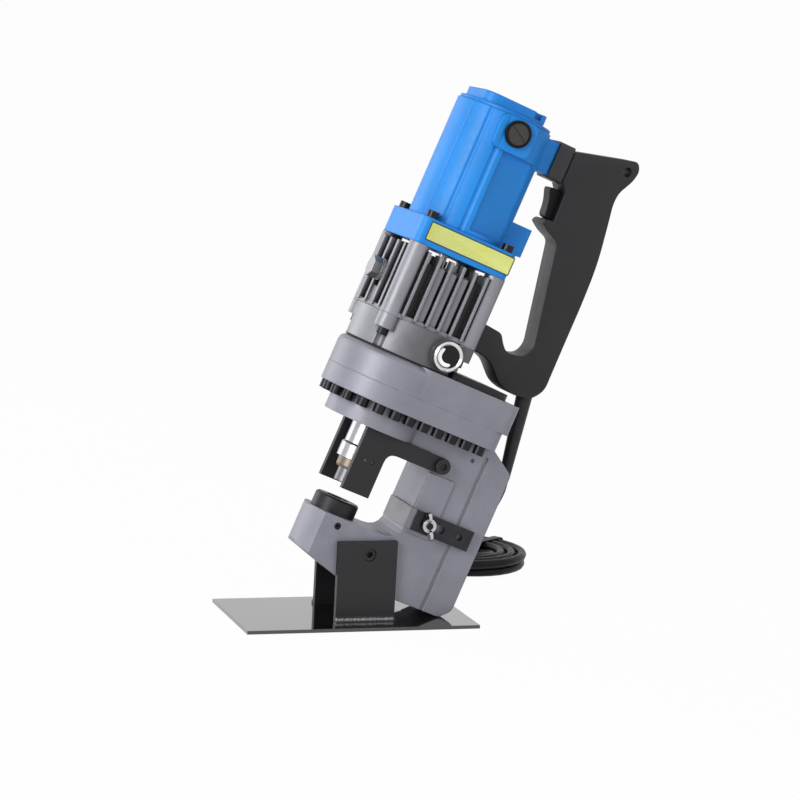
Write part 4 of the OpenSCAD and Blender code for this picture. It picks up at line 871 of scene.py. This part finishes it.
class PUNCH_OT_cord(PieceMaker, bpy.types.Operator):
    """Lays the mains cord from the handle's boot to the coil and the plug"""

    bl_idname = "punch.cord"
    bl_label = "Cord"

    def make(self):
        t = trim()
        turns = t.coil_layers * t.layer_turns + (t.coil_layers - 1) * CLIMB_TURNS
        count = round(turns * TURN_STEPS)
        line = smooth_line(ROUTE, 4)[:-1]
        line += [COIL_LEAD + Vector((k, 0, 0)) for k in (0, 4)]
        line += [coil_point(turns * i / count) for i in range(count + 1)]
        line += smooth_line(TAIL, 3)
        line = [p * MM for p in line]
        length = sum((b - a).length for a, b in zip(line, line[1:]))
        curve = bpy.data.curves.new("mains_cord", "CURVE")
        curve.dimensions = "3D"
        spline = curve.splines.new("POLY")
        spline.points.add(len(line) - 1)
        for point, place in zip(spline.points, line):
            point.co = (*place, 1.0)
        curve.bevel_depth = t.cord_diameter / 2
        curve.bevel_resolution = 4
        curve.use_fill_caps = True
        spline.use_smooth = True
        cord = fitted("mains_cord", curve, "cord sheath")
        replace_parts(cord, "cord", "cord_coil")


class PUNCH_OT_plug(PieceMaker, bpy.types.Operator):
    """Moulds the round plug with its grip ribs and two pins"""

    bl_idname = "punch.plug"
    bl_label = "Plug"

    def make(self):
        start, along, side = TAIL[-1] * MM, Vector((-1.0, 0.0, 0.0)), Vector((0.0, 1.0, 0.0))
        body = [(0.2, 4.3), (0.0, 5.0), (0.4, 5.8), (4.0, 6.2), (15.0, 8.4), (17.0, 9.2), (21.0, 9.9),
                (28.0, 11.6), (36.0, 12.8), (44.0, 13.5), (50.6, 13.9), (51.7, 13.5), (52.0, 12.6),
                (51.6, 11.6), (51.6, 6.0)]
        pin, pin_offset = [(51.0, 2.4), (66.0, 2.4), (69.2, 2.2), (70.4, 1.6), (71.0, 0.6)], 9.5
        shape = bmesh.new()
        turned(shape, body, start, along, side)
        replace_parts(mesh_piece("mains_plug", shape, "plug plastic"), "cord_plug")
        shape = bmesh.new()
        for offset in (-pin_offset, pin_offset):
            turned(shape, pin, start + side * (offset * MM), along, side, count=20)
        mesh_piece("plug_pins", shape, "plated pins")
        grown("plug_grip", rib_plan(), {"Start": start + along * 0.0035, "Step": along * 0.0026, "Count": 5,
                                        "First radius": 0.0062, "Last radius": 0.0086, "Thickness": 0.0006,
                                        "Turn": (0.0, math.pi / 2, 0.0)}, "plug plastic")


class PUNCH_OT_strap(PieceMaker, bpy.types.Operator):
    """Ties the coil with a flat strap and its lock"""

    bl_idname = "punch.strap"
    bl_label = "Coil strap"

    def make(self):
        half_wide, half_high, corner, thick = 19.45, 8.5, 4.1, 0.75
        half_band, chamfer = 4.4, 0.3
        lock_size, lock_out, lock_edge = (2.8, 9.6, 6.0), 1.6, 0.6
        angle, reach, height = math.radians(35.0), 45.0, 9.25
        up = Vector((0.0, 0.0, 1.0))
        radial = Vector((math.cos(angle), math.sin(angle), 0.0))
        tangent = up.cross(radial)
        centre = COIL_CENTRE.xy.to_3d() + radial * reach + up * height
        inner, outer = (rounded(half_wide + t, half_high + t, corner + t, steps=6) for t in (0.0, thick))
        rings = []
        for i, o in zip(inner, outer):
            section = ((i, -half_band), (o, chamfer - half_band), (o, half_band - chamfer), (i, half_band))
            rings.append([(centre + radial * a + up * b + tangent * w) * MM for (a, b), w in section])
        shape = bmesh.new()
        ring_faces(shape, rings, closed=True)
        lock = bmesh.ops.create_cube(shape, size=1.0)["verts"]
        place = centre + radial * (half_wide + lock_out)
        turn = Matrix((radial, tangent, up)).transposed()
        for v in lock:
            v.co = (place + turn @ (v.co * Vector(lock_size))) * MM
        edges = list({e for v in lock for e in v.link_edges})
        bmesh.ops.bevel(shape, geom=edges, offset=lock_edge * MM, segments=2, profile=0.5, affect="EDGES")
        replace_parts(mesh_piece("coil_strap", shape, "strap plastic"), "cord_tie")


class PUNCH_OT_stand(PieceMaker, bpy.types.Operator):
    """Paints the base plate and its uprights, and lays the weld beads at their feet"""

    bl_idname = "punch.stand"
    bl_label = "Stand"

    def make(self):
        dress("base_plate", "gloss black plate")
        dress("near_upright far_upright", "satin black paint")
        dress("stand_bolts", "blacked bolts")
        low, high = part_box("near_upright")
        pitch, bead, margin, face, skew = trim().ripple, 0.0026, 0.001, 0.0337, 0.35
        plan = ripple_plan()
        for name, sign, seed in (("near_weld", -1, 3), ("far_weld", 1, 8)):
            start = (low.x + margin, sign * (face + bead / 2), low.z + bead / 2)
            grown(name, plan, {"Start": start, "Step": (pitch, 0, 0), "Radius": bead, "Shape": (0.5, 1.0, 1.0),
                               "Count": int((high.x - low.x - 2 * margin) / pitch) + 1,
                               "Turn": (0.0, 0.0, sign * skew), "Seed": seed}, "weld bead")


class PUNCH_OT_castings(PieceMaker, bpy.types.Operator):
    """Paints the cast frame, the cover flange and the screws between them"""

    bl_idname = "punch.castings"
    bl_label = "Frame castings"

    def make(self):
        dress("c_frame cover_flange", "frame paint")
        dress("rear_plate", "satin black paint")
        dress("flange_screws", "oiled screws")
        dress("cover_gasket", "gasket")


class PUNCH_OT_tooling(PieceMaker, bpy.types.Operator):
    """Finishes the ram, punch, die, stripper and gauge"""

    bl_idname = "punch.tooling"
    bl_label = "Tooling"

    def make(self):
        dress("ram", "hard chrome")
        dress("gauge_screw", "bright chrome")
        dress("punch_nut", "bronze nut")
        dress("punch", "punch steel")
        dress("die die_set_screw", "die steel")
        dress("stripper", "stripper paint")
        dress("stripper_bolts", "blacked bolts")
        dress("gauge_bar", "gauge steel")
        dress("piston_seal wiper_seal", "seal rubber")
        dress("return_spring", "spring steel")
        low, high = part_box("gauge_screw")
        hub_face = -0.0409
        hub = Vector(((low.x + high.x) / 2, hub_face, (low.z + high.z) / 2))
        stud = [(0.0, 3.0), (0.9, 3.0), (1.3, 2.6), (1.3, 1.5), (0.3, 1.4)]
        shape = bmesh.new()
        turned(shape, stud, hub, Vector((0.0, -1.0, 0.0)), Vector((1.0, 0.0, 0.0)), count=24)
        mesh_piece("wing_stud", shape, "oiled screws", body="gauge_screw")


class PUNCH_OT_pump(PieceMaker, bpy.types.Operator):
    """Finishes the finned pump housing, its skirt, plug and works"""

    bl_idname = "punch.pump"
    bl_label = "Pump"

    def make(self):
        dress("pump_housing", "fin casting")
        dress("skirt", "skirt casting")
        dress("skirt_screws", "oiled screws")
        dress("oil_plug", "zinc plug")
        dress("plug_washer bearing_plate", "zinc washer")
        dress("pump_block plunger eccentric_shaft shaft_bearings drive_gear", "ground steel")


class PUNCH_OT_sight_glass(PieceMaker, bpy.types.Operator):
    """Fits the sight glass with its dark oil and a bright crescent strip behind it, which is a painted reflection
    """

    bl_idname = "punch.sight_glass"
    bl_label = "Sight glass"

    def make(self):
        dress("sight_ring", "bright ring")
        dress("sight_lens", "dark oil glass")
        # A bright crescent strip inside the ring serves as a painted reflection.
        centre, radius, half_wide, half_thick = leaned(19.0, -56.25, 147.0), 7.3, 1.75, 0.35
        first, sweep, steps = 136.0, 172.0, 36
        rings = []
        for i in range(steps + 1):
            share = i / steps
            angle = math.radians(first + sweep * share)
            outward = REARWARD * math.cos(angle) + UPWARD * math.sin(angle)
            half = half_wide * math.sqrt(max(0.02, 1.0 - abs(2.0 * share - 1.0) ** 9))
            middle = centre + outward * (radius * MM)
            rings.append(circle(middle, outward * half, ACROSS * half_thick, radius=MM, count=12))
        shape = bmesh.new()
        ring_faces(shape, rings)
        mesh_piece("sight_painted_reflection", shape, "bright strip")


class PUNCH_OT_motor(PieceMaker, bpy.types.Operator):
    """Enamels the motor and finishes its brush gear and windings"""

    bl_idname = "punch.motor"
    bl_label = "Motor"

    def make(self):
        dress("motor_housing motor_base end_cap", "blue enamel")
        dress("motor_bolts", "oiled screws")
        dress("brush_caps", "brush cap plastic")
        dress("brush_holders", "brass")
        dress("carbon_brushes", "pressed carbon")
        dress("brush_springs armature_shaft motor_bearings", "ground steel")
        dress("stator", "sheet stack")
        dress("field_coils armature", "varnished wire")
        dress("commutator", "copper bars")
        dress("fan", "fan plastic")


class PUNCH_OT_springs(PieceMaker, bpy.types.Operator):
    """Winds the ram's return spring and the springs behind the brushes"""

    bl_idname = "punch.springs"
    bl_label = "Springs"

    def make(self):
        floor, high, radius, wire, stroke = 74.2, 35.2, 22.5, 1.5, 20.0
        shape = bmesh.new()
        wound(shape, leaned(0.0, 0.0, floor + wire), UPWARD, REARWARD, radius, wire, high - 2 * wire, turns=4)
        spring = mesh_piece("ram_spring", shape, "spring steel")
        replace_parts(spring, "return_spring")
        tuple(leaned(0.0, 0.0, floor))
        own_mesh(spring)
        brush, axis, long, radius, wire = 23.6, 339.0, 20.7, 2.4, 0.35
        shape = bmesh.new()
        for way in (1.0, -1.0):
            wound(shape, leaned(0.0, way * (brush + wire), axis), ACROSS * way, REARWARD, radius, wire,
                  long - 2 * wire, turns=7, steps=24, sides=6)
        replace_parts(mesh_piece("brush_spring_wires", shape, "spring steel"), "brush_springs")


class PUNCH_OT_yellow_plate(PieceMaker, bpy.types.Operator):
    """Fixes the bare yellow plate to the near side of the motor's base"""

    bl_idname = "punch.yellow_plate"
    bl_label = "Yellow plate"

    def make(self):
        t = trim()
        half_u, half_v = t.plate_length / MM / 2, t.plate_height / MM / 2
        middle_u, middle_v, corner, least_corner, front = 3.0, 236.6, 1.2, 0.2, -0.0448
        rings = []
        for inset, y in ((0.0, -44.5), (0.0, -44.9), (0.15, -45.05), (0.95, -45.05), (1.05, -45.0)):
            outline = rounded(half_u - inset, half_v - inset, max(least_corner, corner - inset), steps=4)
            rings.append([leaned(middle_u + a, y, middle_v + b) for a, b in outline])
        shape = bmesh.new()
        ring_faces(shape, rings)
        plate = mesh_piece("yellow_plate", shape, "plate enamel")
        border = plate.data.attributes.new("border", "FLOAT", "FACE")
        for face in plate.data.polygons:
            inner = len(face.vertices) > 4 and face.center.y < front
            border.data[face.index].value = 0.0 if inner else 1.0


class PUNCH_OT_handle(PieceMaker, bpy.types.Operator):
    """Moulds the handle's shells with rounded edges and finishes its trigger and boot"""

    bl_idname = "punch.handle"
    bl_label = "Handle"

    def make(self):
        for node in ("handle_near", "handle_far"):
            shape = eased_copy(node, width=0.0026, segments=4, seam=0.0143, small=0.013)
            shell = mesh_piece(node + "_shell", shape, "handle plastic")
            custom = shell.data.attributes.get("custom_normal")
            if custom:
                shell.data.attributes.remove(custom)
            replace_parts(shell, node)
        dress("handle_collar", "collar plastic")
        dress("trigger", "trigger plastic")
        dress("switch_body", "fan plastic")
        dress("handle_screws", "blacked bolts")
        dress("cord_boot", "boot rubber")


class PUNCH_PT_panel(bpy.types.Panel):
    """Lists the pieces and their settings"""

    bl_idname = "PUNCH_PT_panel"
    bl_label = "Hole Punch"
    bl_space_type = "VIEW_3D"
    bl_region_type = "UI"
    bl_category = "Hole Punch"

    def draw(self, context):
        for operator in OPERATORS:
            self.layout.operator(operator.bl_idname)
        for group in (context.scene.punch_stage, context.scene.punch_paint, context.scene.punch_trim):
            box = self.layout.box()
            for name in group.__annotations__:
                box.prop(group, name)


OPERATORS = (PUNCH_OT_stage, PUNCH_OT_plug, PUNCH_OT_strap, PUNCH_OT_cord, PUNCH_OT_stand, PUNCH_OT_castings,
             PUNCH_OT_tooling, PUNCH_OT_pump, PUNCH_OT_sight_glass, PUNCH_OT_motor, PUNCH_OT_springs,
             PUNCH_OT_yellow_plate, PUNCH_OT_handle)
GROUPS = {"punch_stage": StageSettings, "punch_paint": PaintSettings, "punch_trim": TrimSettings}


def register():
    for name, group in GROUPS.items():
        bpy.utils.register_class(group)
        setattr(bpy.types.Scene, name, PointerProperty(type=group))
    for operator in OPERATORS:
        bpy.utils.register_class(operator)
    bpy.utils.register_class(PUNCH_PT_panel)


def unregister():
    bpy.utils.unregister_class(PUNCH_PT_panel)
    for operator in reversed(OPERATORS):
        bpy.utils.unregister_class(operator)
    for name, group in GROUPS.items():
        delattr(bpy.types.Scene, name)
        bpy.utils.unregister_class(group)


def main():
    register()
    for operator in OPERATORS:
        group, name = operator.bl_idname.split(".")
        getattr(getattr(bpy.ops, group), name)()


if __name__ == "__main__":
    main()
